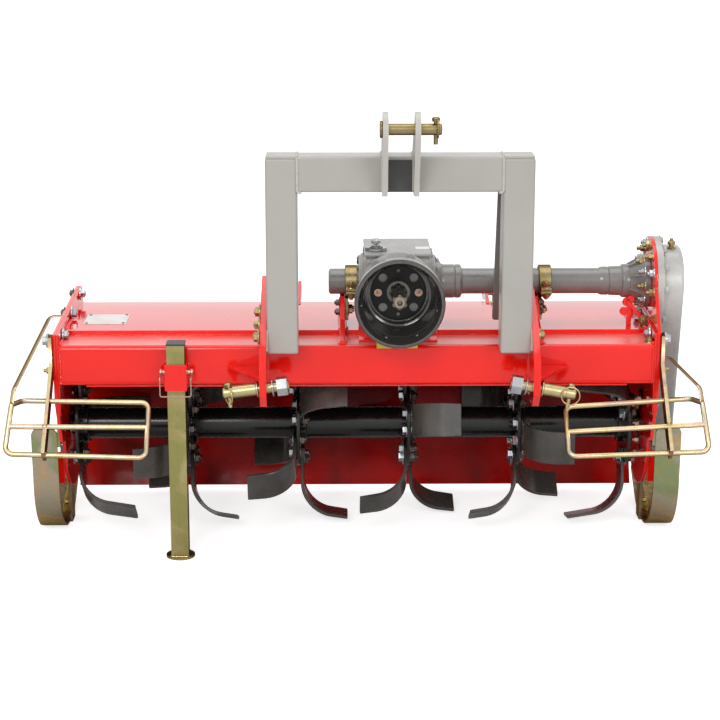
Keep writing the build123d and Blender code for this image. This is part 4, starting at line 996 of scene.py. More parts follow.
class ROTAVATOR_OT_plate_hardware(bpy.types.Operator):
    """Bolts the side plates on, with the lugs and the corner brace"""

    bl_idname = "rotavator.plate_hardware"
    bl_label = "Side plate hardware"

    def execute(self, context):
        size = sizes()
        top = DECK_HIGH.z
        lugs = bmesh.new()
        inside, outside = [], []
        for side, way in SIDES:
            inner = PLATE_X[side] - way * (PLATE_T + 6.0)
            for y, z in ((-122.0, BEAM_HIGH.z + 10.0), (33.0, top + 15.0), (191.0, top + 26.0)):
                inside.append(((inner - way * 2.0, y, z), (-way, 0, 0)))
                if y > 0:
                    outside.append(((PLATE_X[side], y, z), (way, 0, 0)))
                # Rounded lug the bolt's head bears on
                disc(lugs, 14.0, 0.0, 2.0, (inner, y, z), X * -way, 0.5, 24)
        piece(lugs, "plate_lugs", "red")
        bolts("plate_bolts_inside", "bright", inside, size["plate_bolt"] * 0.72, 9.0, 1.2, 2.0)
        bolts("plate_nuts_outside", "dark bolt", outside, size["plate_bolt"] * 0.6, 7.0, 0.8, 2.0)
        # Small brace from a lobed lug on the deck down to the tall plate
        inner = PLATE_X["right"] - PLATE_T - 6.0
        y = BEAM_HIGH.y + 29.0
        brace = bmesh.new()
        block(brace, (inner - 46, y + 10, top), (inner - 34, y + 16, top + 52), 1.0)
        for x, z in ((-52, 34), (-46, 56), (-36, 62)):
            disc(brace, 10.0, 9.0, 17.0, (inner + x, y, top + z), Y, 2.0, 20)
        arm = ((50, 58), (42, 62), (1, 16), (9, 10))
        slab(brace, [(inner - x, y, top + z) for x, z in arm], (0, 10, 0), 1.5)
        piece(brace, "corner_brace", "red")
        seats = [((inner - 6, y, top + 15), -Y), ((inner - 8, BEAM_LOW.y + 26, BEAM_HIGH.z), Z)]
        bolts("corner_brace_bolts", "gold bolt", seats, 14.0, 8.0, 1.0, 3.0)
        # Bolts that hold the side gear case's lower half to the tall plate
        low_bolts = circle_of((inner - 6.0, ROTOR.y, ROTOR.z), X, BEARING_CIRCLE, range(50, 311, 26), -X)
        low_bolts += [((inner - 6.0, ROTOR.y - 110, z), -X) for z in (330.0, 385.0)]
        bolts("case_stud_nuts", "rose bolt", low_bolts, size["flange_bolt"] * 0.85, 7.0, 0.8, 6.0)
        # Bearing bolts inside the left plate
        inner = PLATE_X["left"] + PLATE_T + 6.0
        seats = circle_of((inner, ROTOR.y, ROTOR.z), X, BEARING_CIRCLE, range(20, 380, 60), X)
        bolts("bearing_stud_nuts", "bright", seats, 17.0, 10.0, 1.0, 8.0)
        return {"FINISHED"}


class ROTAVATOR_OT_sign_plate(bpy.types.Operator):
    """Makes the bare plate riveted on the deck"""

    bl_idname = "rotavator.sign_plate"
    bl_label = "Sign plate"

    def execute(self, context):
        left, right = DECK_LOW.x + 36, DECK_LOW.x + 136
        front, rear, z = BEAM_HIGH.y + 62, BEAM_HIGH.y + 160, DECK_HIGH.z
        plate = bmesh.new()
        block(plate, (left, front, z), (right, rear, z + 1.2), 0.5)
        piece(plate, "deck_sign_plate", "sign")
        rivets = bmesh.new()
        for x in (left + 7, right - 7):
            for y in (front + 7, rear - 7):
                turned(rivets, [(0, 0), (0, 4.0), (1.4, 3.4), (2.2, 1.8), (2.4, 0)], (x, y, z + 1.0), Z, 14)
        piece(rivets, "sign_plate_rivets", "dark bolt")
        return {"FINISHED"}


# ---------------------------------------------------------------------------
# Drive line
# ---------------------------------------------------------------------------
class ROTAVATOR_OT_gearbox(bpy.types.Operator):
    """Makes the gearbox casting with its lid, covers, bolts and breather"""

    bl_idname = "rotavator.gearbox"
    bl_label = "Gearbox"

    def execute(self, context):
        body_left, body_right = GEARBOX_LOW.x + 11, GEARBOX_HIGH.x - 11
        front, rear = BEAM_LOW.y + 60, GEARBOX_HIGH.y
        top, bottom = GEARBOX_HIGH.z - 22.0, GEARBOX_LOW.z
        cast = bmesh.new()
        block(cast, (body_left, front, bottom), (body_right, rear, top - 8), 14.0, 5)
        # Lid with rounded corners, bosses at its bolts, and its joint line
        block(cast, (body_left + 4, front + 4, top - 9), (body_right - 4, rear - 4, top - 7.5), 0.4)
        block(cast, (body_left + 1, front + 1, top - 7.5), (body_right - 1, rear - 1, top), 3.0, 3)
        cheek = [(0, 0), (0, 66), (4, 66), (7, 62), (11, 62), (11, 0)]
        for side_x, way in ((body_left, -1), (body_right, 1)):
            hub = Vector((side_x, AXLE.y, AXLE.z))
            turned(cast, cheek, hub, X * way, 56)
            for rib in points_round(hub, X, 58, range(-60, 61, 40)):
                block(cast, rib - Vector((3 + way * 2, 5, 12)), rib + Vector((3 + way * 2, 5, 20)), 2.0)
        # Round front cover, its rim and the neck that carries the guard
        neck = GUARD_HIGH.y + 0.5 - front
        cover = [
            (0, 0), (0, 82), (-6, 88), (-12, 88), (-14, 84), (-20, 62), (-30, 58), (neck, 57.5), (neck, 20.5),
            (0, 20.5),
        ]
        hub = Vector((SHAFT.x, front, SHAFT.z))
        turned(cast, cover, hub, Y, 64)
        for boss in points_round(hub, Y, 80, range(20, 380, 60)):
            disc(cast, 11, -16, 0, boss, Y, 2.0, 20)
        # Pad and stub of the breather
        disc(cast, 17, 0, 5, (GEARBOX_LOW.x + 39, front + 40, top), Z, 1.5, 28)
        # Stiffening ribs on the back
        for x in (body_left + 34, (body_left + body_right) / 2, body_right - 34):
            outline = [(rear - 2, bottom + 12), (rear - 2, top - 20), (rear, top - 24), (rear, bottom + 12)]
            slab(cast, [(x - 4, *corner) for corner in outline], (8, 0, 0), 0.5)
        turned(cast, [(-2, 0), (-2, 52), (0, 50), (0, 0)], (SHAFT.x, rear, SHAFT.z), Y, 48)
        piece(cast, "gearbox_casting", "casting", stands_for=("gearbox",))
        back = circle_of((SHAFT.x, rear - 8, SHAFT.z), Y, 60, range(50, 410, 60), Y)
        bolts("gearbox_rear_bolts", "casting", back, 13.0, 7.0, 0.6)
        side = []
        for side_x, way in ((GEARBOX_LOW.x + 6, -1), (GEARBOX_HIGH.x - 6, 1)):
            turns = (-75, -45, -15, 15, 45, 75, 105, 255)
            side += circle_of((side_x, AXLE.y, AXLE.z), X, 53, turns, X * way)
        bolts("gearbox_side_bolts", "dark bolt", side, 12.0, 7.0, 0.8, 2.0)
        breather = bmesh.new()
        seat = Vector((GEARBOX_LOW.x + 39, front + 40, top + 5))
        outline = [(0, 0), (0, 9), (7, 9), (8, 6), (12, 6), (13, 11), (19, 11.5), (23, 8), (23, 0)]
        turned(breather, outline, seat, Z, 24)
        wire = [seat + Vector(p) for p in ((-15, -6, 3), (-7, -11, 9), (7, -11, 9), (15, -4, 4))]
        rod(breather, wire, 2.2, 4.0)
        nuts = [(seat + Vector(p), Z) for p in ((0, 0, 0.5), (-15, 4, -4), (15, -2, -4))]
        set_heads(breather, nuts, 20.0, 7.0)
        piece(breather, "gearbox_breather", "bright")
        plate = bmesh.new()
        block(plate, (body_right - 36, front + 52, top), (body_right - 4, front + 82, top + 1.2), 0.5)
        piece(plate, "gearbox_bare_plate", "sign")
        piece(dressed("gearbox_saddle", 1.5), "gearbox_pedestal", "red", stands_for=("gearbox_saddle",))
        strip = bmesh.new()
        low, high = span("saddle_strip")
        block(strip, (low.x, BEAM_LOW.y - 2, BEAM_HIGH.z - 7), high, 1.5)
        piece(strip, "pedestal_strip", "strip", stands_for=("saddle_strip",))
        return {"FINISHED"}


class ROTAVATOR_OT_input_shaft(bpy.types.Operator):
    """Makes the splined input shaft"""

    bl_idname = "rotavator.input_shaft"
    bl_label = "Input shaft"

    def execute(self, context):
        low, high = span("input_shaft")
        run = high.y - low.y
        outer, root, teeth, groove = 17.4, 14.6, 6, (34.0, 42.0)
        form = bmesh.new()
        crest = [(share, outer) for share in (-0.23, -0.08, 0.08, 0.23)]
        tooth = [(-0.27, root), *crest, (0.27, root), (0.5, root)]
        for start, end in ((9.0, groove[0]), (groove[1], GUARD_HIGH.y + 20 - low.y)):
            ring = []
            for index in range(teeth):
                for share, radius in tooth:
                    angle = (index + share) * math.tau / teeth
                    x, z = SHAFT.x + radius * math.sin(angle), SHAFT.z + radius * math.cos(angle)
                    ring.append((x, low.y + start, z))
            slab(form, ring, (0, end - start, 0), 0.5, 1)
        # Round core with the centre drilling in its tip, and the journal behind
        core = [
            (16, 0), (14, 3.2), (3, 4.0), (0, 6.0), (0, 11.6), (2.4, 14.4), (run - 90, 14.4),
            (run - 89.7, 19.9), (run, 19.9), (run, 0),
        ]
        turned(form, core, (SHAFT.x, low.y, SHAFT.z), Y, 40)
        piece(form, "splined_shaft", "shaft", "input", ("input_shaft",))
        return {"FINISHED"}


class ROTAVATOR_OT_shaft_guard(bpy.types.Operator):
    """Makes the bowl round the input shaft, with its pierced floor"""

    bl_idname = "rotavator.shaft_guard"
    bl_label = "Shaft guard"

    def execute(self, context):
        front, back = GUARD_LOW.y, GUARD_HIGH.y
        rim = (GUARD_HIGH.x - GUARD_LOW.x) / 2
        deep = back - front
        mouth = deep * 0.78
        wall = [
            (1.2, rim - 3.5), (0, rim - 5), (0, 93), (2, 91.2), (13, 89.2), (15, 87.4), (34, 83.4),
            (36, 81.4), (mouth, 73.0), (mouth + 2, 68.5), (deep - 12, 67.0), (deep - 5, 66.5),
            (deep - 5, 62), (deep, 62), (deep, 71), (mouth + 4, 76), (64, 79.0), (58, 82.5), (38, 88),
            (33, 95), (31, rim - 1), (28, rim), (24, rim), (22.5, rim - 1.2), (21, rim), (5, rim),
            (2.4, rim - 1.5),
        ]
        form = bmesh.new()
        turned(form, wall, (SHAFT.x, front, SHAFT.z), Y, 96, closed=True)
        # Pierced floor
        part = bmesh.new()
        flat = Matrix.Translation((SHAFT.x, back - 5, SHAFT.z)) @ Matrix.Rotation(math.radians(90), 4, "X")
        bmesh.ops.create_circle(part, segments=72, radius=64, matrix=flat)
        bmesh.ops.create_circle(part, segments=48, radius=26.5, matrix=flat)
        large = [(x, 0, z) for x in (-35, 35) for z in (-34, 34)]
        for places, segments, radius in ((large, 28, 10), ([(0, 0, -50), (0, 0, 50)], 18, 4.0)):
            for place in places:
                spot = Matrix.Translation(place) @ flat
                bmesh.ops.create_circle(part, segments=segments, radius=radius, matrix=spot)
        bmesh.ops.triangle_fill(part, use_beauty=True, edges=part.edges[:], normal=Y)
        outwards(part)
        shift_new(part, bmesh.ops.extrude_face_region(part, geom=part.faces[:]), (0, 4, 0))
        piece(form, "shaft_guard_bowl", "guard", stands_for=("pto_guard",))
        # The floor deep in the bowl is painted shade.
        piece(part, "shaft_guard_floor", "dark guard")
        seats = [((SHAFT.x + x, back - 5, SHAFT.z), -Y) for x in (-46, 46)]
        bolts("shaft_guard_bolts", "rose bolt", seats, 10.0, 6.0, 1.0, 10.0)
        rivets = bmesh.new()
        hub = Vector((SHAFT.x, front + 26, SHAFT.z))
        points = points_round(hub, Y, 85.0, (-95, -160, -207, -257))
        set_heads(rivets, [(point, hub - Y * 30 - point) for point in points], 5.0, 1.4, 0.8)
        piece(rivets, "shaft_guard_rivets", "bright")
        return {"FINISHED"}


class ROTAVATOR_OT_axle_tube(bpy.types.Operator):
    """Makes the axle tube, its bell and the stub on the other side"""

    bl_idname = "rotavator.axle_tube"
    bl_label = "Axle tube"

    def execute(self, context):
        size = sizes()
        start, end = AXLE_LOW.x, AXLE_HIGH.x
        run = end - start
        neck = [
            (0, 0), (0, 54), (8, 54), (10, 50), (14, 42), (20, 39.5), (44, 39.5), (46, 38), (48, 39.5),
            (58, 39.5), (61, 37), (64, 30.5), (70, 30),
        ]
        # The bell end, measured back from its flange
        bell = [
            (118, 30), (112, 33), (108, 33.5), (96, 33.5), (94, 32), (92, 34), (66, 35), (63, 38), (60, 39.5),
            (48, 39.5), (45, 38), (38, 41), (24, 50), (16, 58), (14, 62), (2, 62), (0, 60), (0, 0),
        ]
        tube = bmesh.new()
        outline = neck + [(run - back, radius) for back, radius in bell]
        turned(tube, outline, (start, AXLE.y, AXLE.z), X, 56)
        # Ribs from the neck out to the bell's flange
        centre = Vector((end, AXLE.y, AXLE.z))
        rib = ((50, 36), (14, 36), (13, 59), (24, 55), (50, 41))
        for toward in points_round((0, 0, 0), X, 1.0, range(22, 382, 45)):
            slab(tube, [centre - X * back + toward * out for back, out in rib], toward.cross(X) * 5, 1.2)
        piece(tube, "axle_tube_turned", "tube", stands_for=("axle_tube",))
        stub_low, stub_high = span("stub_tube")
        stub = bmesh.new()
        run = stub_high.x - stub_low.x
        outline = [(0, 0), (0, 25), (1.5, 27.5), (4, 30), (44, 30), (46, 32), (60, 33), (run, 40), (run, 0)]
        turned(stub, outline, (stub_low.x, AXLE.y, AXLE.z), X, 48)
        piece(stub, "stub_tube_turned", "tube", stands_for=("stub_tube",))
        bell = circle_of((end - 14, AXLE.y, AXLE.z), X, 54, range(-160, 180, 36), -X)
        rim = circle_of((PLATE_X["right"] - PLATE_T, AXLE.y, AXLE.z), X, 90, range(-100, 97, 28), -X)
        gold = bell[1::2] + [seat for index, seat in enumerate(rim) if index % 3]
        bright = bell[::2] + rim[::3]
        bolts("bell_gold_bolts", "gold bolt", gold, size["flange_bolt"], 9.0, 1.0, 8.0)
        bolts("bell_bright_bolts", "bright", bright, size["flange_bolt"], 9.0, 1.0, 5.0)
        return {"FINISHED"}


class ROTAVATOR_OT_side_case(bpy.types.Operator):
    """Makes the side gear case and the bearing at the rotor's other end"""

    bl_idname = "rotavator.side_case"
    bl_label = "Side gear case"

    def execute(self, context):
        size = sizes()
        low = CASE_LOW
        case = bmesh.new()
        for start, depth, radius, edge in ((low.x, 16.0, 105.0, 2.0), (low.x + 16.0, 49.0, 85.0, 12.0)):
            ring = []
            for centre, first in ((AXLE, -90), (ROTOR, 90)):
                for step in range(25):
                    angle = math.radians(first + step * 7.5)
                    y, z = centre.y + radius * math.sin(angle), centre.z + radius * math.cos(angle)
                    ring.append((start, y, z))
            part = prism(ring, (depth, 0, 0))
            soften(part, edge, 5, 40.0, lambda e: all(v.co.x > start + depth - 0.1 for v in e.verts))
            merge(case, part)
        face = low.x + 65.0
        outline = [(-2, 0), (-2, 42), (0, 38), (1, 34), (5, 34), (6, 32.5), (6, 18), (4.5, 16), (4.5, 0)]
        for centre in (AXLE, ROTOR):
            turned(case, outline, (face, centre.y, centre.z), X, 48)
        # Raised panel between the bosses
        mid = (AXLE + ROTOR) / 2
        block(case, (face - 1, mid.y - 34, mid.z - 90), (face + 2.5, mid.y + 34, mid.z + 90), 1.6, 3)
        piece(case, "side_case_cast", "case", stands_for=("side_case",))
        seats = []
        for centre, turns in ((AXLE, range(-90, 91, 30)), (ROTOR, range(90, 271, 30))):
            seats += circle_of((low.x + 16, centre.y, centre.z), X, 96, turns, X)
        for way in (-1, 1):
            for share in (0.2, 0.4, 0.6, 0.8):
                point = AXLE.lerp(ROTOR, share)
                seats.append(((low.x + 16, point.y + way * 96, point.z), X))
        bolts("side_case_bolts", "case", seats, size["flange_bolt"] * 0.9, 7.0, 0.7)
        breather = bmesh.new()
        seat = Vector((low.x + 40, AXLE.y - 22, AXLE.z + 80))
        outline = [
            (-2, 0), (-2, 9), (5, 9), (6, 6), (10, 6), (11, 9), (16, 9), (19, 6.5), (19, 4), (24, 4),
            (25, 2.5), (25, 0),
        ]
        turned(breather, outline, seat, Z, 24)
        set_heads(breather, [(seat, Z)], 19.0, 5.0)
        piece(breather, "side_case_breather", "gold bolt")
        bearing = bmesh.new()
        x = PLATE_X["left"]
        outline = [
            (0, 0), (0, 74), (8, 74), (10, 72), (10.5, 60), (12, 54), (24, 52), (26, 50), (26, 30), (23, 27),
            (23, 0),
        ]
        turned(bearing, outline, (x, ROTOR.y, ROTOR.z), -X, 56)
        piece(bearing, "bearing_left_housing", "casting", stands_for=("bearing_left",))
        seats = circle_of((x - 10, ROTOR.y, ROTOR.z), X, 65, range(30, 390, 60), -X)
        bolts("bearing_left_bolts", "bright", seats, 17.0, 10.0)
        cap = bmesh.new()
        turned(cap, [(0, 0), (0, 26), (2.4, 25), (3.4, 21), (3.4, 0)], (x - 22.5, ROTOR.y, ROTOR.z), -X, 32)
        nipple = [(0, 0), (0, 4), (3, 4), (4, 2.6), (6.0, 2.6), (6.4, 0)]
        turned(cap, nipple, (x - 18, ROTOR.y, ROTOR.z + 40), (-0.6, 0, 0.8), 14)
        piece(cap, "bearing_left_cap", "dark bolt")
        return {"FINISHED"}


class ROTAVATOR_OT_tube_carriers(bpy.types.Operator):
    """Makes the posts and straps that carry the axle tube"""

    bl_idname = "rotavator.tube_carriers"
    bl_label = "Axle tube carriers"

    def execute(self, context):
        size = sizes()
        posts = dressed("tube_posts", size["edge"])
        weld = size["weld"]
        for start in (POST_LOW.x, POST_HIGH.x - 12):
            for x in (start - 1, start + 13):
                bead(posts, (x, BEAM_HIGH.y + 2, DECK_HIGH.z + 1), (x, AXLE.y + 72, DECK_HIGH.z + 1), weld)
                bead(posts, (x, BEAM_LOW.y + 8, BEAM_HIGH.z + 1), (x, BEAM_HIGH.y - 4, BEAM_HIGH.z + 1), weld)
        piece(posts, "tube_posts_cut", "red", stands_for=("tube_posts",))
        seats = [
            ((x, AXLE.y - 31, DECK_HIGH.z + rise), (way, 0, 0))
            for x, way in ((POST_LOW.x, -1), (POST_HIGH.x, 1)) for rise in (35, 57)
        ]
        bolts("tube_post_bolts", "dark bolt", seats, 14.0, 8.0, 1.0, 3.0)
        straps = bmesh.new()
        pairs = []
        band = [(0, 30.2), (0, 36), (1.5, 38), (27.5, 38), (29, 36), (29, 30.2)]
        for start in (CLAMP_LOW.x, CLAMP_HIGH.x - 29):
            turned(straps, band, (start, AXLE.y, AXLE.z), X, 56, closed=True)
            for way in (-1, 1):
                y, z = AXLE.y + way * 46, AXLE.z
                for foot, seat, out in ((z - 12, z - 5, Z), (z - 20, z - 20, -Z)):
                    block(straps, (start + 2, y - 11, foot), (start + 27, y + 11, foot + 7), 1.5)
                    pairs.append(((start + 14.5, AXLE.y + way * 49, seat), out))
            block(straps, (start, AXLE.y - 25, AXLE.z - 88), (start + 8, AXLE.y + 25, AXLE.z - 36), 1.2)
            pairs += [((start + 8, AXLE.y + aside, AXLE.z - 66), X) for aside in (-12, 12)]
        piece(straps, "tube_straps", "strap zinc", stands_for=("tube_clamps",))
        bolts("tube_strap_bolts", "gold bolt", pairs, 15.0, 8.0, 1.0, 4.0)
        return {"FINISHED"}


# ---------------------------------------------------------------------------
# Three-point hitch
# ---------------------------------------------------------------------------
class ROTAVATOR_OT_hoop(bpy.types.Operator):
    """Makes the hitch hoop with its capped uprights and welded joints"""

    bl_idname = "rotavator.hoop"
    bl_label = "Hitch hoop"

    def execute(self, context):
        weld = sizes()["weld"]
        for upright in ("upright_left", "upright_right"):
            low, high = span(upright)
            tube = bmesh.new()
            block(tube, low, (high.x, high.y, high.z - 5), 6.0, 4)
            block(tube, (low.x + 1.5, low.y + 1.5, high.z - 6), (high.x - 1.5, high.y - 1.5, high.z), 2.0, 3)
            piece(tube, f"{upright}_tube", "hoop", stands_for=(upright,))
        bar = bmesh.new()
        low, high = CROSS_LOW, CROSS_HIGH
        block(bar, (low.x - 6, low.y + 0.4, low.z), (high.x + 6, high.y - 0.4, high.z - 0.4), 6.0, 4)
        piece(bar, "crossbar_tube", "hoop", stands_for=("crossbar",))
        seams = bmesh.new()
        for x, way in ((low.x, 1), (high.x, -1)):
            for y in (low.y - 0.2, high.y + 0.2):
                bead(seams, (x, y, low.z + 2), (x, y, high.z - 3), weld)
            bead(seams, (x, low.y + 3, low.z), (x, high.y - 3, low.z), weld)
            bead(seams, (x, low.y + 3, high.z), (x, high.y - 3, high.z), weld * 0.7)
            bead(seams, (x, low.y - 0.2, low.z + 2), (x + way * 10, low.y - 0.2, low.z - 1), weld)
        for x in (span("upright_left")[0].x, span("upright_right")[1].x):
            for y in (BEAM_LOW.y - 68, BEAM_LOW.y - 3):
                bead(seams, (x, y, 498), (x, y, 548), weld)
        # The welds take the paler hoop paint: painted highlight.
        piece(seams, "hoop_weld_seams", "lit hoop")
        return {"FINISHED"}


class ROTAVATOR_OT_top_clevis(bpy.types.Operator):
    """Makes the top link's ears with their pin"""

    bl_idname = "rotavator.top_clevis"
    bl_label = "Top link clevis"

    def execute(self, context):
        weld = sizes()["weld"] * 0.8
        ears = dressed("top_clevis", 1.6)
        left, right, front = CLEVIS_LOW.x, CLEVIS_HIGH.x, CROSS_LOW.y
        low, high = CROSS_LOW.z, CROSS_HIGH.z
        for x in (left, left + 12, right - 12, right):
            bead(ears, (x, front - 1, low + 4), (x, front - 1, high - 4), weld)
            bead(ears, (x, front + 4, high + 1), (x, CROSS_HIGH.y - 8, high + 1), weld)
        # The ears take the paler hoop paint: painted light.
        piece(ears, "clevis_ears", "lit hoop", stands_for=("top_clevis",))
        between = bmesh.new()
        block(between, (left + 13, front - 1.2, low + 2), (right - 13, front + 0.5, high - 8), 0.5)
        piece(between, "clevis_shadow_plate", "cap")
        y, z = middle("top_link_pin").y, CLEVIS_HIGH.z - 38.0
        low, high = span("top_link_pin")
        run = high.x - low.x
        pin = bmesh.new()
        head = [(0, 0), (0, 16.5), (1.5, 18.5), (4.5, 18.5), (6, 17), (6, 12.4)]
        turned(pin, head + [(run - 4, 12.4), (run - 1, 10), (run, 0)], (low.x, y, z), X, 40)
        linch = Vector((high.x - 14.0, y, z))
        rod(pin, [linch + Z * 26, linch - Z * 32], 4.8)
        turned(pin, [(0, 0), (0, 8), (7, 9), (9, 6), (9, 0)], linch + Z * 17, Z, 20)
        # Sprung ring of the linch pin
        rod(pin, points_round(linch + Vector((4, 0, 2)), X, 21, range(-150, 151, 30)), 2.4, 5.0)
        piece(pin, "top_pin_turned", "strap zinc", stands_for=("top_link_pin",))
        return {"FINISHED"}


class ROTAVATOR_OT_link_plates(bpy.types.Operator):
    """Makes the lower link plates, their pins and linch pins"""

    bl_idname = "rotavator.link_plates"
    bl_label = "Lower link plates and pins"

    def execute(self, context):
        weld = sizes()["weld"]
        for (side, way), swing in zip(SIDES, (math.radians(62), 0.0)):
            low, high = span(f"link_plate_{side}")
            inner = high.x if way < 0 else low.x
            plate = dressed(f"link_plate_{side}", 1.6)
            front = BEAM_LOW.y
            for x in (inner, inner + way * 16):
                bead(plate, (x, front - 1, BEAM_LOW.z - 18), (x, front - 1, BEAM_HIGH.z - 6), weld)
                bead(plate, (x, front + 6, BEAM_HIGH.z + 1), (x, BEAM_HIGH.y - 4, BEAM_HIGH.z + 1), weld)
            x = inner + way * 17
            bead(plate, (x, front - 4, 450), (x, front - 112, 450), weld * 0.8)
            piece(plate, f"link_plate_{side}_cut", "red", stands_for=(f"link_plate_{side}",))
            up = joint_axis(f"linch_{side}_slide")
            out = Vector((way * up.z, 0, -abs(up.x)))
            centre = Vector((inner + way * 8, middle(f"lower_pin_{side}").y, low.z + 43))
            droop = math.asin(abs(up.x))

            def seat(radius):
                """How far out a drooping pin's disc of a radius just clears the plate."""
                return (8.3 + radius * math.sin(droop)) / math.cos(droop)

            collar = seat(19.0)
            pin = bmesh.new()
            outline = [
                (-58, 0), (-58, 10.5), (-56.5, 11.9), (collar, 11.9), (collar, 17.5), (collar + 1.2, 19),
                (collar + 3.8, 19), (collar + 5, 17.5), (collar + 5, 13.9), (68, 13.9), (69, 12.95),
                (88, 12.95), (90.4, 11), (91, 9), (91, 0),
            ]
            turned(pin, outline, centre, out, 40)
            piece(pin, f"lower_pin_{side}_turned", "zinc", stands_for=(f"lower_pin_{side}",))
            nut = bmesh.new()
            washer = -seat(21.0) - 12.0
            outline = [(0, 0), (0, 20.3), (0.7, 21), (2.3, 21), (3, 20.3), (3, 0)]
            turned(nut, outline, centre + out * washer, out, 32)
            set_heads(nut, [(centre + out * (washer - 8.0), -out)], 38.0, 24.5)
            piece(nut, f"lower_pin_{side}_nut", "bright")
            linch = bmesh.new()
            hole = centre + out * 78
            outline = [
                (-35, 0), (-35, 3), (-32, 4.7), (13.3, 4.7), (13.3, 8), (14.2, 8.6), (21, 8.6), (22.4, 7),
                (23, 4), (23, 0),
            ]
            turned(linch, outline, hole, up, 24)
            # The sprung ring faces the front on the right, and is swung part of the way round on the left
            aside = (out * math.cos(swing) + Y * math.sin(swing)).normalized()
            hub = hole - Y * 16.5 - up * 2
            angles = [math.radians(degrees) for degrees in range(-160, 161, 20)]
            ring = [hub + (up * math.cos(angle) + aside * math.sin(angle)) * 20.5 for angle in angles]
            rod(linch, ring, 1.5, 6.0)
            for foot in (ring[0], ring[-1]):
                rod(linch, [foot, foot + Y * 10 - up * 1.5], 1.5)
            piece(linch, f"linch_pin_{side}_ring", "zinc", f"linch_{side}", (f"linch_pin_{side}",))
        # Bolts on the plates' outer faces
        left, right = span("link_plate_left")[1].x - 16, span("link_plate_right")[0].x + 16
        seats = [((left, y, z), -X) for y, z in ((-182, 572), (-222, 552), (-270, 535))]
        seats.append(((right, -240, 531), X))
        bolts("link_plate_bolts", "gold bolt", seats, 19.0, 9.0, 1.6, 2.0)
        return {"FINISHED"}


class ROTAVATOR_OT_stays(bpy.types.Operator):
    """Makes the flat stays behind the hoop"""

    bl_idname = "rotavator.stays"
    bl_label = "Rear stays"

    def execute(self, context):
        weld = sizes()["weld"]
        stays = dressed("stays", 1.2)
        low, high = span("stays")
        # Seams at the uprights' backs and along the link plates
        for inner, outer in ((low.x + 56, low.x + 2), (high.x - 70, high.x - 2)):
            bead(stays, (inner, low.y + 1, high.z - 5), (outer, low.y + 1, high.z - 5), weld)
        for x in (low.x + 1, high.x - 1):
            bead(stays, (x, high.y - 12, low.z + 12), (x, high.y - 38, low.z + 96), weld)
        # The stays take the darker hoop paint: painted shade.
        piece(stays, "stay_bars", "shaded hoop", stands_for=("stays",))
        return {"FINISHED"}


# ---------------------------------------------------------------------------
# Rotor
# ---------------------------------------------------------------------------
def spoke(angle):
    """The way out from the rotor's axis at an angle from straight forward, and the way across it."""
    return Vector((0, -math.cos(angle), math.sin(angle))), Vector((0, -math.sin(angle), -math.cos(angle)))


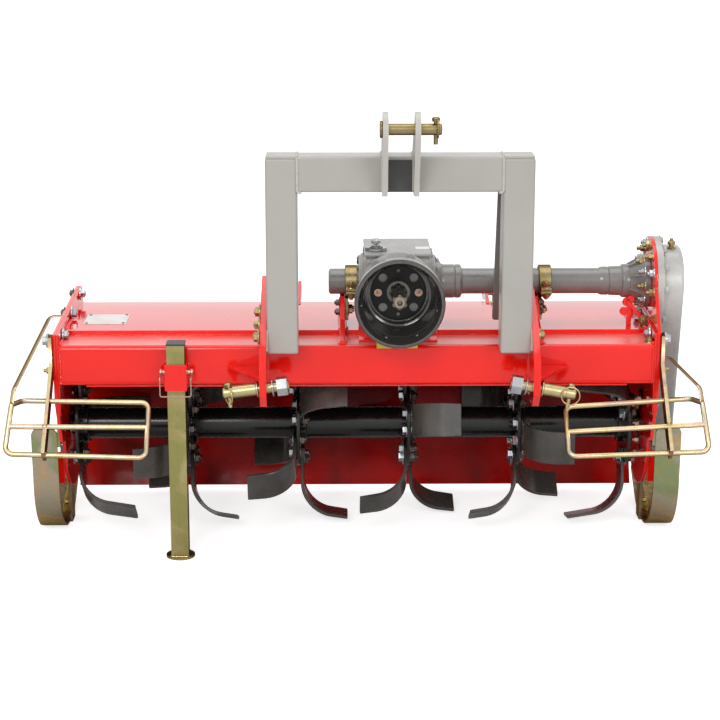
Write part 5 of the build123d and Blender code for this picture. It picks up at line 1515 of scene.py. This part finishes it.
class ROTAVATOR_OT_rotor(bpy.types.Operator):
    """Makes the rotor tube and its six blade flanges"""

    bl_idname = "rotavator.rotor"
    bl_label = "Rotor"

    def blade(self, form, given, flange_x, way, angle, reach):
        """One blade: a strap that widens from its root and bends over sideways to a squared end."""
        radial, along = spoke(angle)
        keys = ("blade_width", "blade_thick", "blade_bend", "blade_root")
        width, thick, bend, root = (getattr(given, key) / MM for key in keys)
        end = math.sqrt(BLADE_TIP**2 - (width / 2) ** 2)
        corner = end - reach * math.tan(given.blade_lean)
        start = Vector((flange_x + way * 4.0, ROTOR.y, ROTOR.z)) - along * width / 2
        part = folded(
            [start + radial * root, start + radial * corner, start + X * way * reach + radial * end],
            along * width, thick, bend, radial, 10,
        )
        hub = Vector((0, ROTOR.y, ROTOR.z))
        for vert in part.verts:
            offset = vert.co - hub
            at_root, at_end = offset.dot(radial) < root + 12, abs(offset.x - flange_x) > reach - 12
            share = 0.8 if at_root else 0.95 if at_end else 1.0
            vert.co += along * offset.dot(along) * (share - 1.0)
        soften(part, 1.1, 1, 50.0)
        merge(form, part)

    def execute(self, context):
        given = context.scene.rotavator_rotor
        size = sizes()
        low, high = span("rotor_tube")
        tube = bmesh.new()
        run = high.x - low.x
        inset = (run - (BEAM_HIGH.x - BEAM_LOW.x - 16)) / 2
        half = [(0, 0), (0, 20), (2, 22.4), (inset, 22.4), (inset, 36), (inset + 2, 38)]
        outline = half + [(run - along, radius) for along, radius in reversed(half)]
        turned(tube, outline, (low.x, ROTOR.y, ROTOR.z), X, 56)
        piece(tube, "rotor_tube_turned", "rotor", "rotor", ("rotor_tube",))
        count = 6
        first, last = FLANGE_FIRST_X + 4, FLANGE_LAST_X - 4
        pitch = (last - first) / (count - 1)
        radius = given.flange / MM
        flange = [(-4, 38.1), (-4, radius - 1), (-3, radius), (3, radius), (4, radius - 1), (4, 38.1)]
        collar = [(4, 38.1), (4, 48), (18, 48), (20, 46), (20, 38.1)]
        heads, low_heads, nuts, welds = [], [], [], bmesh.new()
        for index in range(count):
            x = first + pitch * index
            phase = given.first + given.stagger * index
            form = bmesh.new()
            hub = Vector((x, ROTOR.y, ROTOR.z))
            turned(form, flange, hub, X, 56, closed=True)
            turned(form, collar, hub, -X if index == count - 1 else X, 48, closed=True)
            # Three blades bend right and three left, but none outwards at the ends
            bends = []
            if index < count - 1:
                bends += [(1, phase + math.radians(120 * k)) for k in range(3)]
            if index > 0:
                bends += [(-1, phase + math.radians(120 * k - 60)) for k in range(3)]
            reach = pitch / 2 + (OUTER_REACH if index in (0, count - 1) else INNER_REACH)
            for way, angle in bends:
                self.blade(form, given, x, way, angle, reach)
                radial, along = spoke(angle)
                for aside in (-21, 21):
                    seat = hub + radial * 85 + along * aside
                    (heads if index else low_heads).append((seat - X * (4 if way > 0 else 12), -X))
                    nuts.append((seat + X * (12 if way > 0 else 4), X))
            for spot in range(0, 360, 60):
                bead(welds, *points_round(hub + X * 4.5, X, 49, (spot, spot + 22)), size["weld"])
            piece(form, f"blade_set_{index + 1}", "rotor", "rotor", (f"blade_flange_{index + 1}",))
        piece(welds, "rotor_weld_beads", "rotor", "rotor")
        bolts("blade_bolt_heads", "bright", heads, size["blade_bolt"], 9.0, 0.7, 0.0, "rotor")
        bolts("blade_bolt_low_heads", "bright", low_heads, size["blade_bolt"], 6.0, 0.5, 0.0, "rotor")
        bolts("blade_bolt_nuts", "dark bolt", nuts, size["blade_bolt"], 9.0, 0.7, 4.0, "rotor")
        return {"FINISHED"}


# ---------------------------------------------------------------------------
# Skids, guard rails, parking stand
# ---------------------------------------------------------------------------
class ROTAVATOR_OT_skids(bpy.types.Operator):
    """Makes the skids and the bolts of their tabs"""

    bl_idname = "rotavator.skids"
    bl_label = "Skids"

    def execute(self, context):
        seats = []
        for side, way in SIDES:
            skid = f"skid_{side}"
            strip = piece(dressed(skid, 1.0), f"{skid}_strip", "skid zinc", stands_for=(skid,))
            line_inside(strip, "skid inside", middle(skid))
            plate = PLATE_X[side]
            foot = span(skid)[0].z + 14
            tab = bmesh.new()
            outline = ((1, 112), (5, 112), (25, 34), (25, foot), (9, 30))
            slab(tab, [(plate + way * aside, 44, z) for aside, z in outline], (0, 24, 0), 1.0)
            piece(tab, f"{skid}_tab", "tab zinc")
            spacer = bmesh.new()
            ends = sorted((plate, plate + way * 16))
            block(spacer, (ends[0], BEAM_LOW.y + 118, 130), (ends[1], BEAM_LOW.y + 128, 206), 1.0)
            piece(spacer, f"{skid}_spacer", "red")
            for y, z in ((BEAM_LOW.y + 240, 44.0), (BEAM_LOW.y + 242, 104.0), (BEAM_LOW.y + 78, 256.0)):
                seats.append(((plate + way * 7.0, y, z), (way, 0, 0)))
        bolts("skid_bolts", "gold bolt", seats, 17.0, 10.0, 1.0, 3.0)
        return {"FINISHED"}


class ROTAVATOR_OT_guard_rails(bpy.types.Operator):
    """Makes the bent guard rails with their flat bars and bolts"""

    bl_idname = "rotavator.guard_rails"
    bl_label = "Guard rails"

    def execute(self, context):
        upper, lower = [], []
        for side, way in SIDES:
            rail = dressed(f"guard_rail_{side}", 0.0)
            x = PLATE_X[side] + way * 8.0
            upper.append(((x, BEAM_LOW.y + 8, 506.0), (way, 0, 0)))
            lower.append(((x, BEAM_LOW.y + 8, 436.0), (way, 0, 0)))
            for ahead, z in ((72, 390.0), (126, 345.0), (158, 293.0)):
                y = BEAM_LOW.y - ahead
                for face in (PLATE_X[side], x):
                    bead(rail, (face, y - 6, z), (face, y + 6, z), 2.6)
            piece(rail, f"guard_rail_{side}_bent", "rail zinc", stands_for=(f"guard_rail_{side}",))
        bolts("guard_rail_upper_bolts", "bright", upper, 19.0, 9.0, 2.4)
        bolts("guard_rail_lower_bolts", "gold bolt", lower, 14.0, 6.0, 1.2, 7.0)
        return {"FINISHED"}


class ROTAVATOR_OT_parking_stand(bpy.types.Operator):
    """Makes the parking stand, its socket, and its cross pin with the wire bail"""

    bl_idname = "rotavator.parking_stand"
    bl_label = "Parking stand"

    def execute(self, context):
        weld = sizes()["weld"] * 0.9
        x, y = middle("stand_leg").x, middle("stand_leg").y
        leg = dressed("stand_leg", 1.6, 3)
        low, high = span("stand_leg")
        for way in (-1, 1):
            bead(leg, (x - 20, y + way * 20.5, low.z + 5), (x + 20, y + way * 20.5, low.z + 5), 3.2)
            bead(leg, (x + way * 20.5, y - 20, low.z + 5), (x + way * 20.5, y + 20, low.z + 5), 3.2)
        piece(leg, "stand_leg_tube", "leg zinc", "stand", ("stand_leg",))
        cap = bmesh.new()
        block(cap, (x - 21.2, y - 21.2, high.z - 3.5), (x + 21.2, y + 21.2, high.z + 1.5), 1.8, 3)
        piece(cap, "stand_leg_cap", "cap", "stand")
        seam = bmesh.new()
        block(seam, (x - 0.7, y - 20.3, 30), (x + 0.7, y - 19.6, high.z - 14), 0.2)
        piece(seam, "stand_leg_seam", "leg zinc", "stand")
        piece(dressed("stand_socket", 1.0), "stand_socket_tube", "red", stands_for=("stand_socket",))
        z = middle("stand_pin").z
        pin_low, pin_high = span("stand_pin")
        pins = bmesh.new()
        outline = [(0, 0), (0, 6.5), (1, 7.6), (5, 7.6), (6, 6.2), (6, 4.9), (17.6, 4.9), (17.6, 0)]
        for start, way in ((pin_low.x, 1), (pin_high.x, -1)):
            turned(pins, outline, (start, y, z), X * way, 24)
        half = ((y - 4, z), (y - 34, z - 6), (y - 36, SOCKET_LOW.z - 10))
        bail = [(pin_low.x + 3, *point) for point in half]
        bail += [(pin_high.x - 3, *point) for point in reversed(half)]
        rod(pins, bail, 1.6, 5.0)
        piece(pins, "stand_pin_bail", "rose bolt", stands_for=("stand_pin",))
        seams = bmesh.new()
        for side_x in (x - 26, x + 26):
            y = BEAM_LOW.y - 1.5
            bead(seams, (side_x, y, SOCKET_LOW.z + 3), (side_x, y, SOCKET_HIGH.z - 3), weld)
        piece(seams, "stand_socket_welds", "red")
        return {"FINISHED"}


# ---------------------------------------------------------------------------
# Rear flap and its spring rods
# ---------------------------------------------------------------------------
class ROTAVATOR_OT_rear_flap(bpy.types.Operator):
    """Makes the rear flap, its hinge, and the spring rods that hold it"""

    bl_idname = "rotavator.rear_flap"
    bl_label = "Rear flap"

    def execute(self, context):
        flap = dressed("rear_flap", 0.8)
        # The flap's faces turned to the rotor take the inside paint: painted shade under the hood.
        line_inside(piece(flap, "rear_flap_sheet", "red", "flap", ("rear_flap",)), "inside", ROTOR)
        hinge = bmesh.new()
        low, high = span("hinge_pin")
        run, centre = high.x - low.x, middle("hinge_pin")
        outline = [(0, 0), (0, 4), (1, 4.95), (run - 1, 4.95), (run, 4), (run, 0)]
        turned(hinge, outline, (low.x, centre.y, centre.z), X, 20)
        piece(hinge, "flap_hinge_rod", "zinc", stands_for=("hinge_pin",))
        lean = joint_axis("rod_slide")
        eye, swivel = middle("eye_pins"), middle("swivels")
        rods, springs, pins, pivots, nuts = (bmesh.new() for kind in range(5))
        low, high = span("eye_pins")
        reach = math.hypot(swivel.y - eye.y, swivel.z - eye.z)
        # Outlines along the rod, across its eye, and along the pins
        shank = [
            (13, 0), (13, 6.5), (14, 6.9), (24, 6.9), (24, 15), (26, 17), (29, 17), (31, 15), (31, 6.9),
            (reach + 33, 6.9), (reach + 35, 5.5), (reach + 35, 0),
        ]
        seat = [(120, 6.9), (120, 15), (122, 17), (125, 17), (127, 15), (127, 6.9)]
        loop = [(-11.5, 7.6), (-11.5, 12.5), (-10, 14), (10, 14), (11.5, 12.5), (11.5, 7.6)]
        pin = [(0, 0), (0, 8.4), (1.5, 9), (3.5, 9), (4, 8), (4, 5.95), (45, 5.95), (45, 8), (48, 8), (48, 0)]
        barrel = [(0, 0), (0, 12.5), (1.5, 13.95), (62.5, 13.95), (64, 12.5), (64, 0)]
        for x in (low.x + 24.0, high.x - 24.0):
            foot = Vector((x, eye.y, eye.z))
            turned(rods, shank, foot, lean, 28)
            turned(rods, loop, foot, X, 32, closed=True)
            coil(springs, foot + lean * 33, lean, 14.0, 2.8, 86.0, 7)
            turned(rods, seat, foot, lean, 28, closed=True)
            set_heads(nuts, [(foot + lean * (reach + 15.0), lean)], 21.0, 10.0)
            turned(pins, pin, foot - X * 24, X, 24)
            turned(pivots, barrel, (x - 32, swivel.y, swivel.z), X, 32)
        piece(rods, "spring_rods_turned", "zinc", "rods", ("spring_rods",))
        piece(springs, "rod_springs", "rotor", "rods")
        piece(nuts, "spring_rod_nuts", "bright", "rods")
        piece(pins, "eye_pins_turned", "zinc", "flap", ("eye_pins",))
        piece(pivots, "swivels_turned", "zinc", "swivel", ("swivels",))
        brackets = dressed("rod_brackets", sizes()["edge"])
        piece(brackets, "rod_brackets_cut", "red", stands_for=("rod_brackets",))
        return {"FINISHED"}


# ---------------------------------------------------------------------------
# Stage
# ---------------------------------------------------------------------------
CAMERA_PLACE = (-0.0415, -4.439, 1.560)
CAMERA_TURN = (math.radians(75.5), 0.0, math.radians(-0.65))
LAMP_TARGET = Vector((0, 0, 0.4))
FILL_SHARE = 0.45  # The fill's power as a share of the front lamp's
FLOOR_GLOW = 0.72  # Light that only the camera sees on the floor


class ROTAVATOR_OT_stage(bpy.types.Operator):
    """Makes the floor, the lamps, the white surroundings and the camera"""

    bl_idname = "rotavator.stage"
    bl_label = "Stage"

    def lamp(self, scene, name, place, size, power):
        """A square lamp that points at the machine."""
        light = bpy.data.lights.new(name, "AREA")
        light.shape, light.size, light.energy = "SQUARE", size, power
        item = bpy.data.objects.new(name, light)
        item.location = place
        item.rotation_euler = (LAMP_TARGET - Vector(place)).to_track_quat("-Z", "Y").to_euler()
        scene.collection.objects.link(item)

    def execute(self, context):
        scene = context.scene
        given = scene.rotavator_stage
        scene.view_settings.view_transform = "Standard"
        form = bmesh.new()
        bmesh.ops.create_grid(form, x_segments=2, y_segments=2, size=30.0)
        mesh = bpy.data.meshes.new("floor")
        form.to_mesh(mesh)
        form.free()
        floor = bpy.data.objects.new("floor", mesh)
        scene.collection.objects.link(floor)
        material = bpy.data.materials.new("Pale floor")
        material.use_nodes = True
        tree = material.node_tree
        shader = tree.nodes["Principled BSDF"]
        shader.inputs["Base Color"].default_value = given.floor
        shader.inputs["Roughness"].default_value = 0.9
        shader.inputs["Specular IOR Level"].default_value = 0.1
        path = add(tree, "ShaderNodeLightPath").outputs
        seen = combine(tree, path["Is Camera Ray"], FLOOR_GLOW)
        glow = add(tree, "ShaderNodeEmission", {"Color": (1, 1, 1, 1), "Strength": seen})
        both = add(tree, "ShaderNodeAddShader", {0: shader.outputs[0], 1: glow.outputs[0]})
        tree.links.new(both.outputs[0], tree.nodes["Material Output"].inputs["Surface"])
        mesh.materials.append(material)
        world = bpy.data.worlds.new("White surroundings")
        scene.world = world
        world.use_nodes = True
        tree = world.node_tree
        sky = tree.nodes["Background"]
        sky.inputs["Color"].default_value = (1, 1, 1, 1)
        sky.inputs["Strength"].default_value = given.sky
        white = add(tree, "ShaderNodeBackground", {"Color": (1, 1, 1, 1), "Strength": 1.0})
        path = add(tree, "ShaderNodeLightPath").outputs
        seen = combine(tree, path["Is Camera Ray"], path["Is Glossy Ray"], "MAXIMUM")
        seen = combine(tree, seen, path["Is Transmission Ray"], "MAXIMUM")
        mix = add(tree, "ShaderNodeMixShader", {0: seen, 1: sky.outputs[0], 2: white.outputs[0]})
        tree.links.new(mix.outputs[0], tree.nodes["World Output"].inputs["Surface"])
        self.lamp(scene, "front lamp", (-1.6, -5.2, 3.4), 1.9, given.front)
        self.lamp(scene, "front fill", (2.4, -4.6, 2.2), 1.6, given.front * FILL_SHARE)
        self.lamp(scene, "top lamp", (0.2, 0.4, 4.2), 2.6, given.top)
        lens = bpy.data.cameras.new("camera")
        lens.lens, lens.sensor_width, lens.clip_end = given.lens, 36.0, 60.0
        camera = bpy.data.objects.new("camera", lens)
        camera.location = CAMERA_PLACE
        camera.rotation_euler = CAMERA_TURN
        scene.collection.objects.link(camera)
        scene.camera = camera
        return {"FINISHED"}


# ---------------------------------------------------------------------------
# Add-on
# ---------------------------------------------------------------------------
MAKERS = (
    ROTAVATOR_OT_stage,
    ROTAVATOR_OT_hood,
    ROTAVATOR_OT_plate_hardware,
    ROTAVATOR_OT_sign_plate,
    ROTAVATOR_OT_gearbox,
    ROTAVATOR_OT_input_shaft,
    ROTAVATOR_OT_shaft_guard,
    ROTAVATOR_OT_axle_tube,
    ROTAVATOR_OT_side_case,
    ROTAVATOR_OT_tube_carriers,
    ROTAVATOR_OT_hoop,
    ROTAVATOR_OT_top_clevis,
    ROTAVATOR_OT_link_plates,
    ROTAVATOR_OT_stays,
    ROTAVATOR_OT_rotor,
    ROTAVATOR_OT_skids,
    ROTAVATOR_OT_guard_rails,
    ROTAVATOR_OT_parking_stand,
    ROTAVATOR_OT_rear_flap,
)


class ROTAVATOR_PT_panel(bpy.types.Panel):
    """Lists the machine's settings and makers"""

    bl_idname = "ROTAVATOR_PT_panel"
    bl_label = "Rotavator"
    bl_space_type = "VIEW_3D"
    bl_region_type = "UI"
    bl_category = "Rotavator"

    def draw(self, context):
        for group in ("rotavator_finish", "rotavator_hardware", "rotavator_rotor", "rotavator_stage"):
            settings = getattr(context.scene, group)
            box = self.layout.box()
            for key in settings.bl_rna.properties.keys():
                if key not in ("rna_type", "name"):
                    box.prop(settings, key)
        for maker in MAKERS:
            self.layout.operator(maker.bl_idname)


SETTINGS = {
    "rotavator_finish": RotavatorFinish,
    "rotavator_hardware": RotavatorHardware,
    "rotavator_rotor": RotavatorRotor,
    "rotavator_stage": RotavatorStage,
}


def register():
    """Registers the settings, the makers and the panel."""
    for cls in (*SETTINGS.values(), *MAKERS, ROTAVATOR_PT_panel):
        bpy.utils.register_class(cls)
    for name, cls in SETTINGS.items():
        setattr(bpy.types.Scene, name, PointerProperty(type=cls))


def unregister():
    """Takes them away again."""
    for name in SETTINGS:
        delattr(bpy.types.Scene, name)
    for cls in reversed((*SETTINGS.values(), *MAKERS, ROTAVATOR_PT_panel)):
        bpy.utils.unregister_class(cls)


def main():
    """Makes the whole machine on its stage."""
    register()
    for maker in MAKERS:
        group, name = maker.bl_idname.split(".")
        getattr(getattr(bpy.ops, group), name)()


if __name__ == "__main__":
    main()
